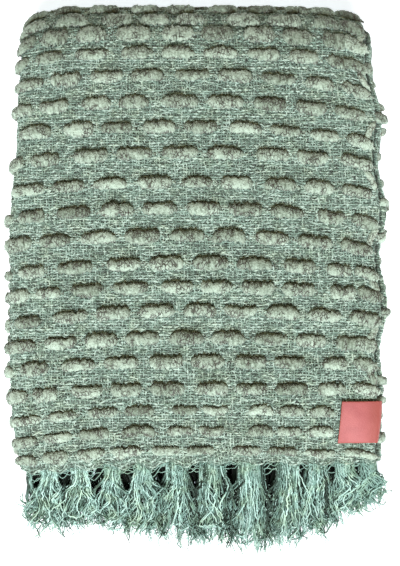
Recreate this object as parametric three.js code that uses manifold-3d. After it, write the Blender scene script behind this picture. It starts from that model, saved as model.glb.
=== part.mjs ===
// A chenille throw with fringed ends and a folded leather label, lying folded in sixteen layers.
// Millimetres, +Z up. X runs across the fold, Y from the fringed hem (-Y) to the round end fold (+Y).
// The origin is the middle of the flat underside.

import * as THREE from 'three';
import { mergeVertices } from 'three/addons/utils/BufferGeometryUtils.js';
import Module from 'manifold-3d';

// The cloth: one woven length, folded in half twice across its width and twice along its length.
const CLOTH_THICKNESS = 2.6;
const LAYER_GAP = 2.6;
const LAYER_PITCH = CLOTH_THICKNESS + LAYER_GAP;
const HALF_CLOTH = CLOTH_THICKNESS / 2;
const LAYERS_IN_STRIP = 4;
const STRIP_PITCH = LAYERS_IN_STRIP * LAYER_PITCH;

// Of four runs folded on each other, the outer two lie this many pitches from the middle, the inner this.
const OUTER_RUN_PITCHES = 1.5;
const INNER_RUN_PITCHES = 0.5;
const HALF_STRIP = OUTER_RUN_PITCHES * LAYER_PITCH + HALF_CLOTH;
const STACK_MIDDLE_Z = OUTER_RUN_PITCHES * STRIP_PITCH + HALF_STRIP;

// Where its edges and folds lie before the stack settles.
const SELVAGE_X = 155;
const UNDER_SELVAGE_X = 151;
const RIGHT_FOLD_X = 162;
const LEFT_FOLD_X = -158;
const HEM_Y = -200;
const UNDER_HEM_Y = -191;
const FRONT_FOLD_Y = -187;
const END_FOLD_Y = 197;
const NESTED_FOLD_INSET = 2;

// How the soft stack settles: it sinks towards its edges, its corners and the left of its end half draw in,
// and its hem shifts to the right.
const SETTLE = {
  endSink: 0.3,
  hemSink: 0.25,
  sideSink: 0.12,
  sinkFromY: 40,
  sinkFromX: 60,
  reachY: 205,
  reachX: 167,
  endNarrowing: 0.055,
  hemNarrowing: 0.03,
  hemNarrowsFromY: 110,
  hemShift: 7,
  leftDrawIn: 8,
  leftDrawInFromX: 20,
  leftDrawInFromY: -5,
  leftDrawInToY: 80,
  cornerDrawIn: 10,
  cornerFromX: 110,
  cornerFromY: 80,
  leftHemDrop: 10,
  leftHemFromX: 40,
  sway: 2.4,
  swayTurnsPerMm: 0.011,
};

// Chenille puffs: plump floats of pile yarn, raised from the showing face in rows.
const PUFF = {
  pitch: 36.8,
  rise: 5.4,
  endRiseShare: 0.86,
  halfLength: 11.4,
  halfWidth: 6.3,
  crownShare: 0.5,
  rowShare: 0.43,
};
const COLUMNS_PER_PUFF = 4; // its middle, its two ends and the gap to the next
const LEFT_FOLD_COLUMNS = 5;
const END_FOOT_LINES = 3;

// Rows of puffs on the showing face, from the hem to the back of the end fold.
// fromHem is measured along the middle of the folded strip. The drops are how far the row's ends sag
// towards the hem, and shift is the place along X of the puff nearest the row's middle.
const ROWS = [
  { fromHem: 12, leftDrop: 3, rightDrop: 3, shift: 6 },
  { fromHem: 29, leftDrop: 5, rightDrop: 2, shift: -11 },
  { fromHem: 47, leftDrop: 6, rightDrop: 4, shift: -7 },
  { fromHem: 65, leftDrop: 4, rightDrop: 1, shift: 15 },
  { fromHem: 88, leftDrop: 6, rightDrop: 3, shift: 11 },
  { fromHem: 108, leftDrop: 7, rightDrop: 6, shift: -7 },
  { fromHem: 131, leftDrop: 11, rightDrop: 8, shift: 4 },
  { fromHem: 151, leftDrop: 8, rightDrop: 7, shift: -15 },
  { fromHem: 171, leftDrop: 9, rightDrop: 9, shift: 13 },
  { fromHem: 194, leftDrop: 7, rightDrop: 12, shift: -6 },
  { fromHem: 217, leftDrop: 8, rightDrop: 12, shift: 8 },
  { fromHem: 239, leftDrop: 7, rightDrop: 9, shift: 3 },
  { fromHem: 264, leftDrop: 8, rightDrop: 9, shift: -11 },
  { fromHem: 286, leftDrop: 5, rightDrop: 13, shift: 7 },
  { fromHem: 308, leftDrop: 6, rightDrop: 12, shift: -10 },
  { fromHem: 331, leftDrop: 6, rightDrop: 13, shift: 1 },
  { fromHem: 351, leftDrop: 4, rightDrop: 9, shift: -11 },
  { fromHem: 366, leftDrop: 3, rightDrop: 6, shift: -11 },
  { fromHem: 378, leftDrop: 2, rightDrop: 4, shift: 0 },
  { fromHem: 394, leftDrop: 0, rightDrop: 2, shift: -8 },
  { fromHem: 408, leftDrop: 0, rightDrop: 0, shift: 6 },
  { fromHem: 424, leftDrop: 0, rightDrop: 0, shift: -11 },
];
const ROW_DROP_AT_X = 150;

// The left fold carries puffs down to a little below its widest line.
const FULL_RISE_ANGLE = THREE.MathUtils.degToRad(165);
const NO_RISE_ANGLE = THREE.MathUtils.degToRad(215);

// Leather label, a strip folded over the selvage, in the plane across the cloth's edge.
const LABEL = {
  fromHem: 18.5,
  toHem: 54.5,
  frontFlap: 32,
  backFlap: 13,
  thickness: 1.1,
  frontStandOff: 5.2,
  backStandOff: 2.6,
  arch: 1.8,
  loopReach: 4.5,
  clearance: 4,
  straightTo: 55,
};

// Fringe: a narrow strip of the cloth's end with locks of loose warp ends falling from it.
const FRINGE = { parting: 1.4, strip: 7, rootDepth: 3, fallShare: 0.78, levelHeight: 2.2, lean: 0.05 };
const LOCK_SIDES = 3;
const LOCK_ROOT = { width: 3.6, thickness: 1 };
const LOCK_BODY = { width: 5.6, thickness: 1.8 };
const LOCK_TIP = { width: 2.2, thickness: 0.9 };
const LOCK_WAVE = { reach: 3.2, turn: 3, phaseStep: 2.4 };

// Places along Y where the locks bend, none of them too near a lock's root or end.
const LOCK_BENDS_Y = [-212, -226, -242, -258];
const BEND_FROM_ROOT = 3.5;
const BEND_FROM_END = 7;

// How far the fringe reaches past the hem, across the throw.
const FRINGE_REACH = [
  { x: -165, reach: 54 },
  { x: -140, reach: 66 },
  { x: -80, reach: 64 },
  { x: -20, reach: 73 },
  { x: 60, reach: 83 },
  { x: 90, reach: 77 },
  { x: 125, reach: 57 },
  { x: 165, reach: 36 },
];

// Each run of the folded strip has its own row of locks. leg is the run's place in the folded section,
// level counts from the surface the throw lies on, and bundles is the number of locks.
const UPPER_FRINGE_RUNS = [
  { leg: 0, level: 8, bundles: 26, length: 1 },
  { leg: 6, level: 7, bundles: 13, length: 0.93 },
  { leg: 4, level: 6, bundles: 12, length: 0.96 },
  { leg: 2, level: 5, bundles: 13, length: 0.9 },
];
const UNDER_FRINGE_RUNS = [
  { leg: 2, level: 3, bundles: 12, length: 0.94 },
  { leg: 4, level: 2, bundles: 13, length: 0.88 },
  { leg: 6, level: 1, bundles: 12, length: 0.95 },
  { leg: 0, level: 0, bundles: 13, length: 0.9 },
];

// Grid stations of the folded cloth: places that all its runs share, and steps on each half turn.
const ACROSS_GRID = { onRuns: [140, 40, -50, -120], onTurns: [6, 4, 4] };
const ALONG_GRID = { onRuns: [145, 50, -60], onTurns: [9, 5, 5] };
const STRIP_GRID = { onRuns: [140, 110, 75, 40, -10, -50, -85, -120], onTurns: [6, 4, 4] };
const LABEL_ACROSS_STEPS = { front: 4, loop: 8, back: 2 };
const LABEL_ALONG_STEPS = 6;

const SAGE_CHENILLE = new THREE.MeshStandardMaterial({ color: 0x8fae98, roughness: 0.95, metalness: 0 });
const SAGE_YARN = new THREE.MeshStandardMaterial({ color: 0x97b5a4, roughness: 0.9, metalness: 0 });
const CORAL_LEATHER = new THREE.MeshStandardMaterial({ color: 0xd9827c, roughness: 0.6, metalness: 0 });

const TOP = Math.PI / 2;
const BOTTOM = -Math.PI / 2;

const wasm = await Module();
wasm.setup();

// Share of the way from one value to another, held between 0 and 1.
function share(value, from, to) {
  return THREE.MathUtils.clamp((value - from) / (to - from), 0, 1);
}

// A level run of a folded section. facing is +1 where the showing face is up.
function run(from, to, level, facing) {
  const length = Math.abs(to - from);
  const way = Math.sign(to - from);
  return { length, from, at: (s) => ({ a: from + way * s, b: level, na: 0, nb: facing }) };
}

// A half turn of a folded section. facing is +1 where the showing face is on the outside of the bend.
function turn(centreA, centreB, radius, start, way, facing) {
  const at = (s) => {
    const angle = start + (way * s) / radius;
    const ca = Math.cos(angle);
    const cb = Math.sin(angle);
    return { a: centreA + radius * ca, b: centreB + radius * cb, na: facing * ca, nb: facing * cb };
  };
  return { length: Math.PI * radius, at };
}

// Edge-on middle line of a ribbon folded in half twice: four runs joined by three half turns.
// It starts at the free end of the top run, and halfThickness is from the middle to the showing face.
function foldTwice({ pitch, halfThickness, freeEnd, innerEnd, farFold, nearFold }) {
  const wide = OUTER_RUN_PITCHES * pitch;
  const tight = INNER_RUN_PITCHES * pitch;
  const farCentre = farFold + wide + halfThickness;
  const nestedCentre = farCentre + NESTED_FOLD_INSET;
  const nearCentre = nearFold - tight - halfThickness;
  return [
    run(freeEnd, farCentre, wide, 1),
    turn(farCentre, 0, wide, TOP, 1, 1),
    run(farCentre, nearCentre, -wide, -1),
    turn(nearCentre, -pitch, tight, BOTTOM, 1, 1),
    run(nearCentre, nestedCentre, -tight, 1),
    turn(nestedCentre, 0, tight, BOTTOM, -1, -1),
    run(nestedCentre, innerEnd, tight, -1),
  ];
}

// Distance along a folded section at which each leg starts.
function legStarts(legs) {
  let reached = 0;
  return legs.map((leg) => {
    const start = reached;
    reached += leg.length;
    return start;
  });
}

// A place along a folded section. Its end runs go on straight past their free ends.
function placeOn(legs, starts, s) {
  let last = legs.length - 1;
  while (last > 0 && s < starts[last]) {
    last -= 1;
  }
  return legs[last].at(s - starts[last]);
}

// Distances along one leg of its grid stations, its end included.
function legStations(leg, place, grid) {
  if (leg.from === undefined) {
    const steps = grid.onTurns[(place - 1) / 2];
    return Array.from({ length: steps }, (_, i) => (leg.length * (i + 1)) / steps);
  }
  const inside = grid.onRuns.map((a) => Math.abs(a - leg.from));
  return [...inside.sort((p, q) => p - q), leg.length];
}

// Grid stations along a whole folded section. Runs and half turns take turns in it.
function stations(legs, starts, grid) {
  return [0, ...legs.flatMap((leg, i) => legStations(leg, i, grid).map((s) => starts[i] + s))];
}

const ACROSS = foldTwice({
  pitch: LAYER_PITCH,
  halfThickness: HALF_CLOTH,
  freeEnd: SELVAGE_X,
  innerEnd: UNDER_SELVAGE_X,
  farFold: LEFT_FOLD_X,
  nearFold: RIGHT_FOLD_X,
});
const ALONG = foldTwice({
  pitch: STRIP_PITCH,
  halfThickness: HALF_STRIP,
  freeEnd: -HEM_Y,
  innerEnd: -UNDER_HEM_Y,
  farFold: -END_FOLD_Y,
  nearFold: -FRONT_FOLD_Y,
});
const ACROSS_STARTS = legStarts(ACROSS);
const ALONG_STARTS = legStarts(ALONG);
const ALONG_END = ALONG_STARTS.at(-1) + ALONG.at(-1).length;

// The settled place of a point of the neatly folded stack. The underside stays flat.
function settle(x, y, z) {
  const atEnd = share(y, SETTLE.sinkFromY, SETTLE.reachY) ** 2;
  const atHem = share(-y, SETTLE.sinkFromY, SETTLE.reachY) ** 2;
  const atSide = share(Math.abs(x), SETTLE.sinkFromX, SETTLE.reachX) ** 2;
  const nearHem = share(-y, SETTLE.hemNarrowsFromY, SETTLE.reachY) ** 2;
  const height = 1 - SETTLE.endSink * atEnd - SETTLE.hemSink * atHem - SETTLE.sideSink * atSide;
  const width = 1 - SETTLE.endNarrowing * atEnd - SETTLE.hemNarrowing * nearHem;
  const inCorner = share(Math.abs(x), SETTLE.cornerFromX, SETTLE.reachX) ** 2;
  const byEnd = share(y, SETTLE.cornerFromY, SETTLE.reachY);
  const byHem = share(-y, SETTLE.cornerFromY, SETTLE.reachY);
  const byLeft = share(-x, SETTLE.leftHemFromX, SETTLE.reachX) ** 2;
  const slide = SETTLE.cornerDrawIn * inCorner * byEnd + SETTLE.leftHemDrop * byLeft * byHem;
  const drawnLeft = share(-x, SETTLE.leftDrawInFromX, SETTLE.reachX) ** 2;
  const drawnEnd = THREE.MathUtils.smoothstep(y, SETTLE.leftDrawInFromY, SETTLE.leftDrawInToY);
  const aside = SETTLE.hemShift * nearHem + SETTLE.leftDrawIn * drawnLeft * drawnEnd;
  return new THREE.Vector3(x * width + aside, y - slide, z * height);
}

// A point of the folded cloth: u across it from the showing selvage, v along it from the showing hem,
// and offset from the middle of its thickness towards the showing face.
function clothPoint(u, v, offset) {
  const across = placeOn(ACROSS, ACROSS_STARTS, u);
  const along = placeOn(ALONG, ALONG_STARTS, v);
  const lift = across.b + offset * across.nb;
  const sway = SETTLE.sway * Math.sin(SETTLE.swayTurnsPerMm * v);
  const x = across.a + offset * across.na + sway;
  const y = -(along.a + lift * along.na);
  const z = STACK_MIDDLE_Z + along.b + lift * along.nb;
  return settle(x, y, z);
}

// A mesh in the making: points and triangles, with grids and the seams between them.
class Shell {
  constructor() {
    this.points = [];
    this.triangles = [];
  }

  add(point) {
    this.points.push(point.x, point.y, point.z);
    return this.points.length / 3 - 1;
  }

  triangle(a, b, c, flip) {
    this.triangles.push(...(flip ? [a, c, b] : [a, b, c]));
  }

  quad(a, b, c, d, flip) {
    this.triangle(a, b, c, flip);
    this.triangle(a, c, d, flip);
  }

  // Faces over the rectangle of a grid from one corner to the other.
  face(grid, fromU, toU, fromV, toV, flip) {
    for (let k = fromU; k < toU; k += 1) {
      for (let j = fromV; j < toV; j += 1) {
        this.quad(grid[k][j], grid[k][j + 1], grid[k + 1][j + 1], grid[k + 1][j], flip);
      }
    }
  }

  // Faces between two edges whose points differ in number. Each point has an id and a place t.
  seam(near, far, flip) {
    let i = 0;
    let j = 0;
    while (i < near.length - 1 || j < far.length - 1) {
      const nextNear = i < near.length - 1 ? near[i + 1].t : Infinity;
      const nextFar = j < far.length - 1 ? far[j + 1].t : Infinity;
      if (nextNear <= nextFar) {
        this.triangle(near[i].id, near[i + 1].id, far[j].id, flip);
        i += 1;
      } else {
        this.triangle(near[i].id, far[j + 1].id, far[j].id, flip);
        j += 1;
      }
    }
  }

  geometry() {
    const made = new THREE.BufferGeometry();
    made.setAttribute('position', new THREE.Float32BufferAttribute(this.points, 3));
    made.setIndex(this.triangles);
    return made;
  }
}

// Ids of a grid of cloth points at one offset.
function clothGrid(shell, us, vs, offset) {
  return us.map((u) => vs.map((v) => shell.add(clothPoint(u, v, offset))));
}

function edge(ids, places) {
  return ids.map((id, i) => ({ id, t: places[i] }));
}

// A closed piece of the folded cloth over the given stations.
function plainCloth(us, vs) {
  const shell = new Shell();
  const outer = clothGrid(shell, us, vs, HALF_CLOTH);
  const inner = clothGrid(shell, us, vs, -HALF_CLOTH);
  const lastU = us.length - 1;
  const lastV = vs.length - 1;
  shell.face(outer, 0, lastU, 0, lastV, false);
  shell.face(inner, 0, lastU, 0, lastV, true);
  shell.seam(edge(outer[0], vs), edge(inner[0], vs), true);
  shell.seam(edge(outer[lastU], vs), edge(inner[lastU], vs), false);
  shell.seam(edge(outer.map((c) => c[0]), us), edge(inner.map((c) => c[0]), us), false);
  shell.seam(edge(outer.map((c) => c[lastV]), us), edge(inner.map((c) => c[lastV]), us), true);
  return shell.geometry();
}

// Whether a puff at this place would lie under the label.
function underLabel(u, v) {
  const withinFlap = u - PUFF.pitch / 2 < LABEL.frontFlap + LABEL.clearance;
  const withinHeight = v > LABEL.fromHem - LABEL.clearance && v < LABEL.toHem + LABEL.clearance;
  return withinFlap && withinHeight;
}

// How much of a puff's rise is left where the left fold turns under.
function riseOnFold(u) {
  const angle = TOP + Math.max(0, u - ACROSS_STARTS[1]) / (OUTER_RUN_PITCHES * LAYER_PITCH);
  return 1 - share(angle, FULL_RISE_ANGLE, NO_RISE_ANGLE);
}

// How much a puff stands up at a distance from its middle along its row.
function puffCrown(distance) {
  const body = share(distance, 0, PUFF.halfLength);
  const end = share(distance, PUFF.halfLength, PUFF.pitch / 2);
  return THREE.MathUtils.lerp(1, PUFF.endRiseShare, body) * (1 - end);
}

// Places across the showing face of the grid columns along a row: on the level part they fall on the
// middles, ends and gaps of its puffs, and on the left fold they are evenly spread.
function columnPlaces(middle) {
  const step = PUFF.pitch / COLUMNS_PER_PUFF;
  const nearest = Math.round(middle / step);
  const slip = middle - nearest * step;
  const spread = PUFF.halfLength - step;
  const level = Math.floor(ACROSS[0].length / step) - 1;
  const places = [0];
  for (let c = 1; c <= level; c += 1) {
    const place = THREE.MathUtils.euclideanModulo(c - nearest, COLUMNS_PER_PUFF);
    const outward = { 1: spread, [COLUMNS_PER_PUFF - 1]: -spread }[place] ?? 0;
    places.push(c * step + slip + outward);
  }
  for (let c = 0; c <= LEFT_FOLD_COLUMNS; c += 1) {
    places.push(ACROSS_STARTS[1] + (ACROSS[1].length * c) / LEFT_FOLD_COLUMNS);
  }
  return places;
}

// One grid line of the showing face along a row of puffs, sideways of its middle line.
function rowLine(row, sideways, crowned) {
  const middle = SELVAGE_X - row.shift;
  const places = columnPlaces(middle);
  return places.map((u, c) => {
    const x = Math.max(SELVAGE_X - u, LEFT_FOLD_X);
    const drop = x < 0 ? row.leftDrop : row.rightDrop;
    const v = row.fromHem + sideways - drop * (x / ROW_DROP_AT_X) ** 2;
    const fromMiddle = THREE.MathUtils.euclideanModulo(u - middle, PUFF.pitch);
    const distance = Math.min(fromMiddle, PUFF.pitch - fromMiddle);
    const atBorder = c === 0 || c === places.length - 1;
    const raised = crowned && !atBorder && !underLabel(u, v);
    return { u, v, rise: raised ? PUFF.rise * puffCrown(distance) * riseOnFold(u) : 0 };
  });
}

// The showing face: four grid lines to each row of puffs, between the hem and the end fold's foot.
function showingFaceLines(faceLength) {
  const plainLine = (v) => columnPlaces(SELVAGE_X).map((u) => ({ u, v, rise: 0 }));
  const lines = [plainLine(0)];
  ROWS.forEach((row, i) => {
    const before = i > 0 ? row.fromHem - ROWS[i - 1].fromHem : Infinity;
    const after = i < ROWS.length - 1 ? ROWS[i + 1].fromHem - row.fromHem : Infinity;
    const foot = Math.min(PUFF.halfWidth, PUFF.rowShare * Math.min(before, after));
    const crown = foot * PUFF.crownShare;
    lines.push(rowLine(row, -foot, false));
    lines.push(rowLine(row, -crown, true));
    lines.push(rowLine(row, crown, true));
    lines.push(rowLine(row, foot, false));
  });
  const lastRow = ROWS.at(-1).fromHem + PUFF.halfWidth;
  for (let k = 1; k <= END_FOOT_LINES; k += 1) {
    lines.push(plainLine(THREE.MathUtils.lerp(lastRow, faceLength, k / END_FOOT_LINES)));
  }
  return lines;
}

// The whole cloth. Its showing face, over the top and round the left and end folds, has the fine grid.
function blanketGeometry() {
  const shell = new Shell();
  const us = stations(ACROSS, ACROSS_STARTS, ACROSS_GRID);
  const vs = stations(ALONG, ALONG_STARTS, ALONG_GRID);
  const lastU = us.length - 1;
  const lastV = vs.length - 1;
  const faceU = us.indexOf(ACROSS_STARTS[2]);
  const faceV = vs.indexOf(ALONG_STARTS[2]);
  const lines = showingFaceLines(vs[faceV]);
  const lastLine = lines.length - 1;
  const columns = lines[0].length - 1;

  const fine = Array.from({ length: columns + 1 }, (_, c) =>
    lines.map((line) => shell.add(clothPoint(line[c].u, line[c].v, HALF_CLOTH + line[c].rise))));
  const inner = clothGrid(shell, us, vs, -HALF_CLOTH);
  const onFineFace = (k, j) => k <= faceU && j <= faceV;
  const outer = us.map((u, k) =>
    vs.map((v, j) => (onFineFace(k, j) ? null : shell.add(clothPoint(u, v, HALF_CLOTH)))));
  outer[faceU][0] = fine[columns][0];
  outer[0][faceV] = fine[0][lastLine];
  outer[faceU][faceV] = fine[columns][lastLine];

  shell.face(fine, 0, columns, 0, lastLine, false);
  shell.face(outer, faceU + 1, lastU, 0, faceV, false);
  shell.face(outer, 0, lastU, faceV + 1, lastV, false);
  shell.face(outer, faceU, lastU, faceV, faceV + 1, false);
  shell.face(inner, 0, lastU, 0, lastV, true);

  const foldEdge = fine[columns].map((id, s) => ({ id, t: lines[s][columns].v }));
  const footEdge = fine.map((column, c) => ({ id: column[lastLine], t: lines[lastLine][c].u }));
  const hemEdge = fine.map((column, c) => ({ id: column[0], t: lines[0][c].u }));
  const selvageEdge = fine[0].map((id, s) => ({ id, t: lines[s][0].v }));
  const along = (grid, k, from, to) => edge(grid[k].slice(from, to), vs.slice(from, to));
  const across = (grid, j, from, to) => edge(grid.slice(from, to).map((c) => c[j]), us.slice(from, to));

  shell.seam(foldEdge, along(outer, faceU + 1, 0, faceV + 1), false);
  shell.seam(footEdge, across(outer, faceV + 1, 0, faceU + 1), true);
  shell.seam([...hemEdge, ...across(outer, 0, faceU + 1)], across(inner, 0, 0), false);
  shell.seam([...selvageEdge, ...along(outer, 0, faceV + 1)], along(inner, 0, 0), true);
  shell.seam(across(outer, lastV, 0), across(inner, lastV, 0), true);
  shell.seam(along(outer, lastU, 0), along(inner, lastU, 0), false);
  return shell.geometry();
}

// The label's section: front flap, loop round the selvage, back flap. depth is from its mid-thickness.
function labelSection(standOff, depth) {
  const places = [];
  const { front, loop, back } = LABEL_ACROSS_STEPS;
  for (let i = 0; i <= front; i += 1) {
    places.push({ u: LABEL.frontFlap * (1 - i / front), o: standOff + depth });
  }
  const middle = (standOff - LABEL.backStandOff) / 2;
  const rise = (standOff + LABEL.backStandOff) / 2 + depth;
  for (let i = 1; i < loop; i += 1) {
    const angle = (Math.PI * i) / loop;
    places.push({ u: -(LABEL.loopReach + depth) * Math.sin(angle), o: middle + rise * Math.cos(angle) });
  }
  for (let i = 0; i <= back; i += 1) {
    places.push({ u: (LABEL.backFlap * i) / back, o: -LABEL.backStandOff - depth });
  }
  return places;
}

// A point of the label, which is stiff and so lies straight along the sloping edge of the cloth.
function labelPoint(u, v, offset) {
  const low = clothPoint(u, 0, offset);
  const high = clothPoint(u, LABEL.straightTo, offset);
  return low.lerp(high, v / LABEL.straightTo);
}

// The label as a closed folded strip, arched a little over the cloth.
function labelGeometry() {
  const shell = new Shell();
  const vs = [];
  const skins = [LABEL.thickness / 2, -LABEL.thickness / 2].map((depth) => {
    const rows = [];
    for (let j = 0; j <= LABEL_ALONG_STEPS; j += 1) {
      const part = j / LABEL_ALONG_STEPS;
      const v = THREE.MathUtils.lerp(LABEL.fromHem, LABEL.toHem, part);
      const standOff = LABEL.frontStandOff + LABEL.arch * Math.sin(Math.PI * part);
      vs[j] = v;
      rows.push(labelSection(standOff, depth).map(({ u, o }) => shell.add(labelPoint(u, v, o))));
    }
    return rows[0].map((_, k) => rows.map((ids) => ids[k]));
  });
  const [outer, inner] = skins;
  const us = outer.map((_, k) => k);
  const lastU = us.length - 1;
  const lastV = LABEL_ALONG_STEPS;
  shell.face(outer, 0, lastU, 0, lastV, true);
  shell.face(inner, 0, lastU, 0, lastV, false);
  shell.seam(edge(outer[0], vs), edge(inner[0], vs), false);
  shell.seam(edge(outer[lastU], vs), edge(inner[lastU], vs), true);
  shell.seam(edge(outer.map((c) => c[0]), us), edge(inner.map((c) => c[0]), us), true);
  shell.seam(edge(outer.map((c) => c[lastV]), us), edge(inner.map((c) => c[lastV]), us), false);
  return shell.geometry();
}

// How far the fringe reaches past the hem at a place across the throw.
function fringeReach(x) {
  const after = FRINGE_REACH.findIndex((row) => row.x >= x);
  const next = Math.max(1, after < 0 ? FRINGE_REACH.length - 1 : after);
  const from = FRINGE_REACH[next - 1];
  const to = FRINGE_REACH[next];
  return THREE.MathUtils.lerp(from.reach, to.reach, share(x, from.x, to.x));
}

// Height of a lock that starts at a root height and comes to lie level before its end.
function fallHeight(rootZ, level, y, reach) {
  const lying = FRINGE.levelHeight * level;
  const fallen = THREE.MathUtils.smoothstep(HEM_Y - y, 0, FRINGE.fallShare * reach);
  return THREE.MathUtils.lerp(rootZ, lying, fallen);
}

// One lock of fringe: a three-sided tapered strand with its flat side down.
function lockGeometry(root, edgeOfStrip, level, length, phase) {
  const rings = [{ at: root, section: LOCK_ROOT }];
  rings.push({ at: edgeOfStrip, section: LOCK_ROOT });
  const endY = HEM_Y - fringeReach(root.x) * length;
  const firstY = edgeOfStrip.y - BEND_FROM_ROOT;
  const lastY = endY + BEND_FROM_END;
  const bends = LOCK_BENDS_Y.filter((y) => y < firstY && y > lastY);
  [...bends, endY].forEach((y) => {
    const part = share(y, edgeOfStrip.y, endY);
    const wave = LOCK_WAVE.reach * part * Math.sin(phase + LOCK_WAVE.turn * part);
    const x = edgeOfStrip.x + FRINGE.lean * root.x * part + wave;
    const z = fallHeight(edgeOfStrip.z, level, y, fringeReach(x));
    rings.push({ at: new THREE.Vector3(x, y, z), section: y === endY ? LOCK_TIP : LOCK_BODY });
  });
  const shell = new Shell();
  const grid = rings.map(({ at, section }) => [
    shell.add(new THREE.Vector3(at.x - section.width / 2, at.y, at.z)),
    shell.add(new THREE.Vector3(at.x + section.width / 2, at.y, at.z)),
    shell.add(new THREE.Vector3(at.x, at.y, at.z + section.thickness)),
  ]);
  for (let i = 0; i < grid.length - 1; i += 1) {
    for (let side = 0; side < LOCK_SIDES; side += 1) {
      const next = (side + 1) % LOCK_SIDES;
      shell.quad(grid[i][side], grid[i][next], grid[i + 1][next], grid[i + 1][side], false);
    }
  }
  shell.triangle(...grid[0], true);
  shell.triangle(...grid.at(-1), false);
  return shell.geometry();
}

function toSolid(geometry) {
  const merged = mergeVertices(geometry);
  const vertProperties = new Float32Array(merged.attributes.position.array);
  const triVerts = new Uint32Array(merged.index.array);
  return new wasm.Manifold(new wasm.Mesh({ numProp: 3, vertProperties, triVerts }));
}

function toGeometry(solid) {
  const mesh = solid.getMesh();
  const made = new THREE.BufferGeometry();
  made.setAttribute('position', new THREE.Float32BufferAttribute(mesh.vertProperties, mesh.numProp));
  made.setIndex(new THREE.BufferAttribute(mesh.triVerts, 1));
  return made;
}

// One fringed end: the strip beside the hem at hemV, and locks from each of its runs.
// way is -1 where the fringe lies before the cloth and +1 where it lies after it.
function fringeGeometry(hemV, way, runs) {
  const us = stations(ACROSS, ACROSS_STARTS, STRIP_GRID);
  const near = hemV + way * FRINGE.parting;
  const far = near + way * FRINGE.strip;
  const vs = [near, far].sort((p, q) => p - q);
  let fringe = toSolid(plainCloth(us, vs));
  runs.forEach(({ leg, level, bundles, length }) => {
    for (let i = 0; i < bundles; i += 1) {
      const u = ACROSS_STARTS[leg] + (ACROSS[leg].length * (i + 0.5)) / bundles;
      const root = clothPoint(u, far - way * FRINGE.rootDepth, 0);
      const edgeOfStrip = clothPoint(u, far, 0);
      root.z -= LOCK_ROOT.thickness / 2;
      edgeOfStrip.z -= LOCK_ROOT.thickness / 2;
      const phase = LOCK_WAVE.phaseStep * i + level;
      fringe = fringe.add(toSolid(lockGeometry(root, edgeOfStrip, level, length, phase)));
    }
  });
  return toGeometry(fringe);
}

function piece(name, geometry, material) {
  const mesh = new THREE.Mesh(geometry, material);
  mesh.name = name;
  return mesh;
}

const throwBlanket = new THREE.Group();
throwBlanket.add(piece('blanket', blanketGeometry(), SAGE_CHENILLE));
throwBlanket.add(piece('fringe_upper', fringeGeometry(0, -1, UPPER_FRINGE_RUNS), SAGE_YARN));
throwBlanket.add(piece('fringe_under', fringeGeometry(ALONG_END, 1, UNDER_FRINGE_RUNS), SAGE_YARN));
throwBlanket.add(piece('label', labelGeometry(), CORAL_LEATHER));

export default throwBlanket;
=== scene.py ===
"""Looks of a folded chenille throw: woven ground, chenille puffs, two fringes and a leather label.

The cloth's form repeats the fold of the solids, so every yarn lies on the solid that it stands for.
Sizes are in millimetres, and the meshes are in metres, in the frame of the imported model.
"""

import json
import logging
import math
from abc import ABC, abstractmethod
from collections.abc import Callable
from dataclasses import dataclass, field
from enum import Enum
from functools import partial

import bpy
import numpy as np
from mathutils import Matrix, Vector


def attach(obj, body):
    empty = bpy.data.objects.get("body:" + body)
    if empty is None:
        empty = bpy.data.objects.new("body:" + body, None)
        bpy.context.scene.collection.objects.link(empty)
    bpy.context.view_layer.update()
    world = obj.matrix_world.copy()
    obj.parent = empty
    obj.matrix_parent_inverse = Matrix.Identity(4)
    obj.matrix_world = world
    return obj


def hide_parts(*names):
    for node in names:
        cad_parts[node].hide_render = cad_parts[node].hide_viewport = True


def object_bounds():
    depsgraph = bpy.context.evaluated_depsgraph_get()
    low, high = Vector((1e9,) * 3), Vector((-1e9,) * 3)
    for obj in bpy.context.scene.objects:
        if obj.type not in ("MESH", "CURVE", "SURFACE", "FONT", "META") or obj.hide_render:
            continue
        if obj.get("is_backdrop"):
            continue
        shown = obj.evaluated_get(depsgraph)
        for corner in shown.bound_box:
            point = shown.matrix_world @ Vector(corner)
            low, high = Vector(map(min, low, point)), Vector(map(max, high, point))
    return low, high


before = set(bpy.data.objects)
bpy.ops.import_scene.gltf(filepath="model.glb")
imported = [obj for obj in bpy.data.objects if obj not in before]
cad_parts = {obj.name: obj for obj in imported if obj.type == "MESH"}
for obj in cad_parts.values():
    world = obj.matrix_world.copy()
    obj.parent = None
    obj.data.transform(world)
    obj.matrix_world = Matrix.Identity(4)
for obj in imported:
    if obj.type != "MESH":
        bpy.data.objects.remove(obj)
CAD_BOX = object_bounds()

LOG = logging.getLogger("throw")
MM = 0.001
TURN = 2.0 * math.pi
TINY = 1e-9
BODY = "root"
Array = np.ndarray
Rng = np.random.Generator
Pair = tuple[float, float]
Colour = tuple[float, float, float, float]
Material = bpy.types.Material
Piece = bpy.types.Object
AddNode = Callable[..., bpy.types.Node]


class Slot(Enum):
    """Material slots of the record."""

    CHENILLE = "chenille_cloth"
    YARN = "fringe_yarn"
    LEATHER = "leather"


class Thread(Enum):
    """The two sets of ground threads."""

    WARP = "warp"
    WEFT = "weft"


def linear(code: str) -> Colour:
    """Turns an sRGB hex colour into linear light, by the standard's own curve.

    Args:
        code: Six hex digits.

    Returns:
        Red, green, blue and an alpha of one.
    """
    shares = [int(code[i:i + 2], 16) / 255.0 for i in (0, 2, 4)]
    red, green, blue = (c / 12.92 if c <= 0.04045 else ((c + 0.055) / 1.055) ** 2.4 for c in shares)
    return red, green, blue, 1.0


def per_mm(size: float) -> float:
    """Texture scale, in repeats a metre, of a feature that is this many millimetres across."""
    return 1.0 / (size * MM)


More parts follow.
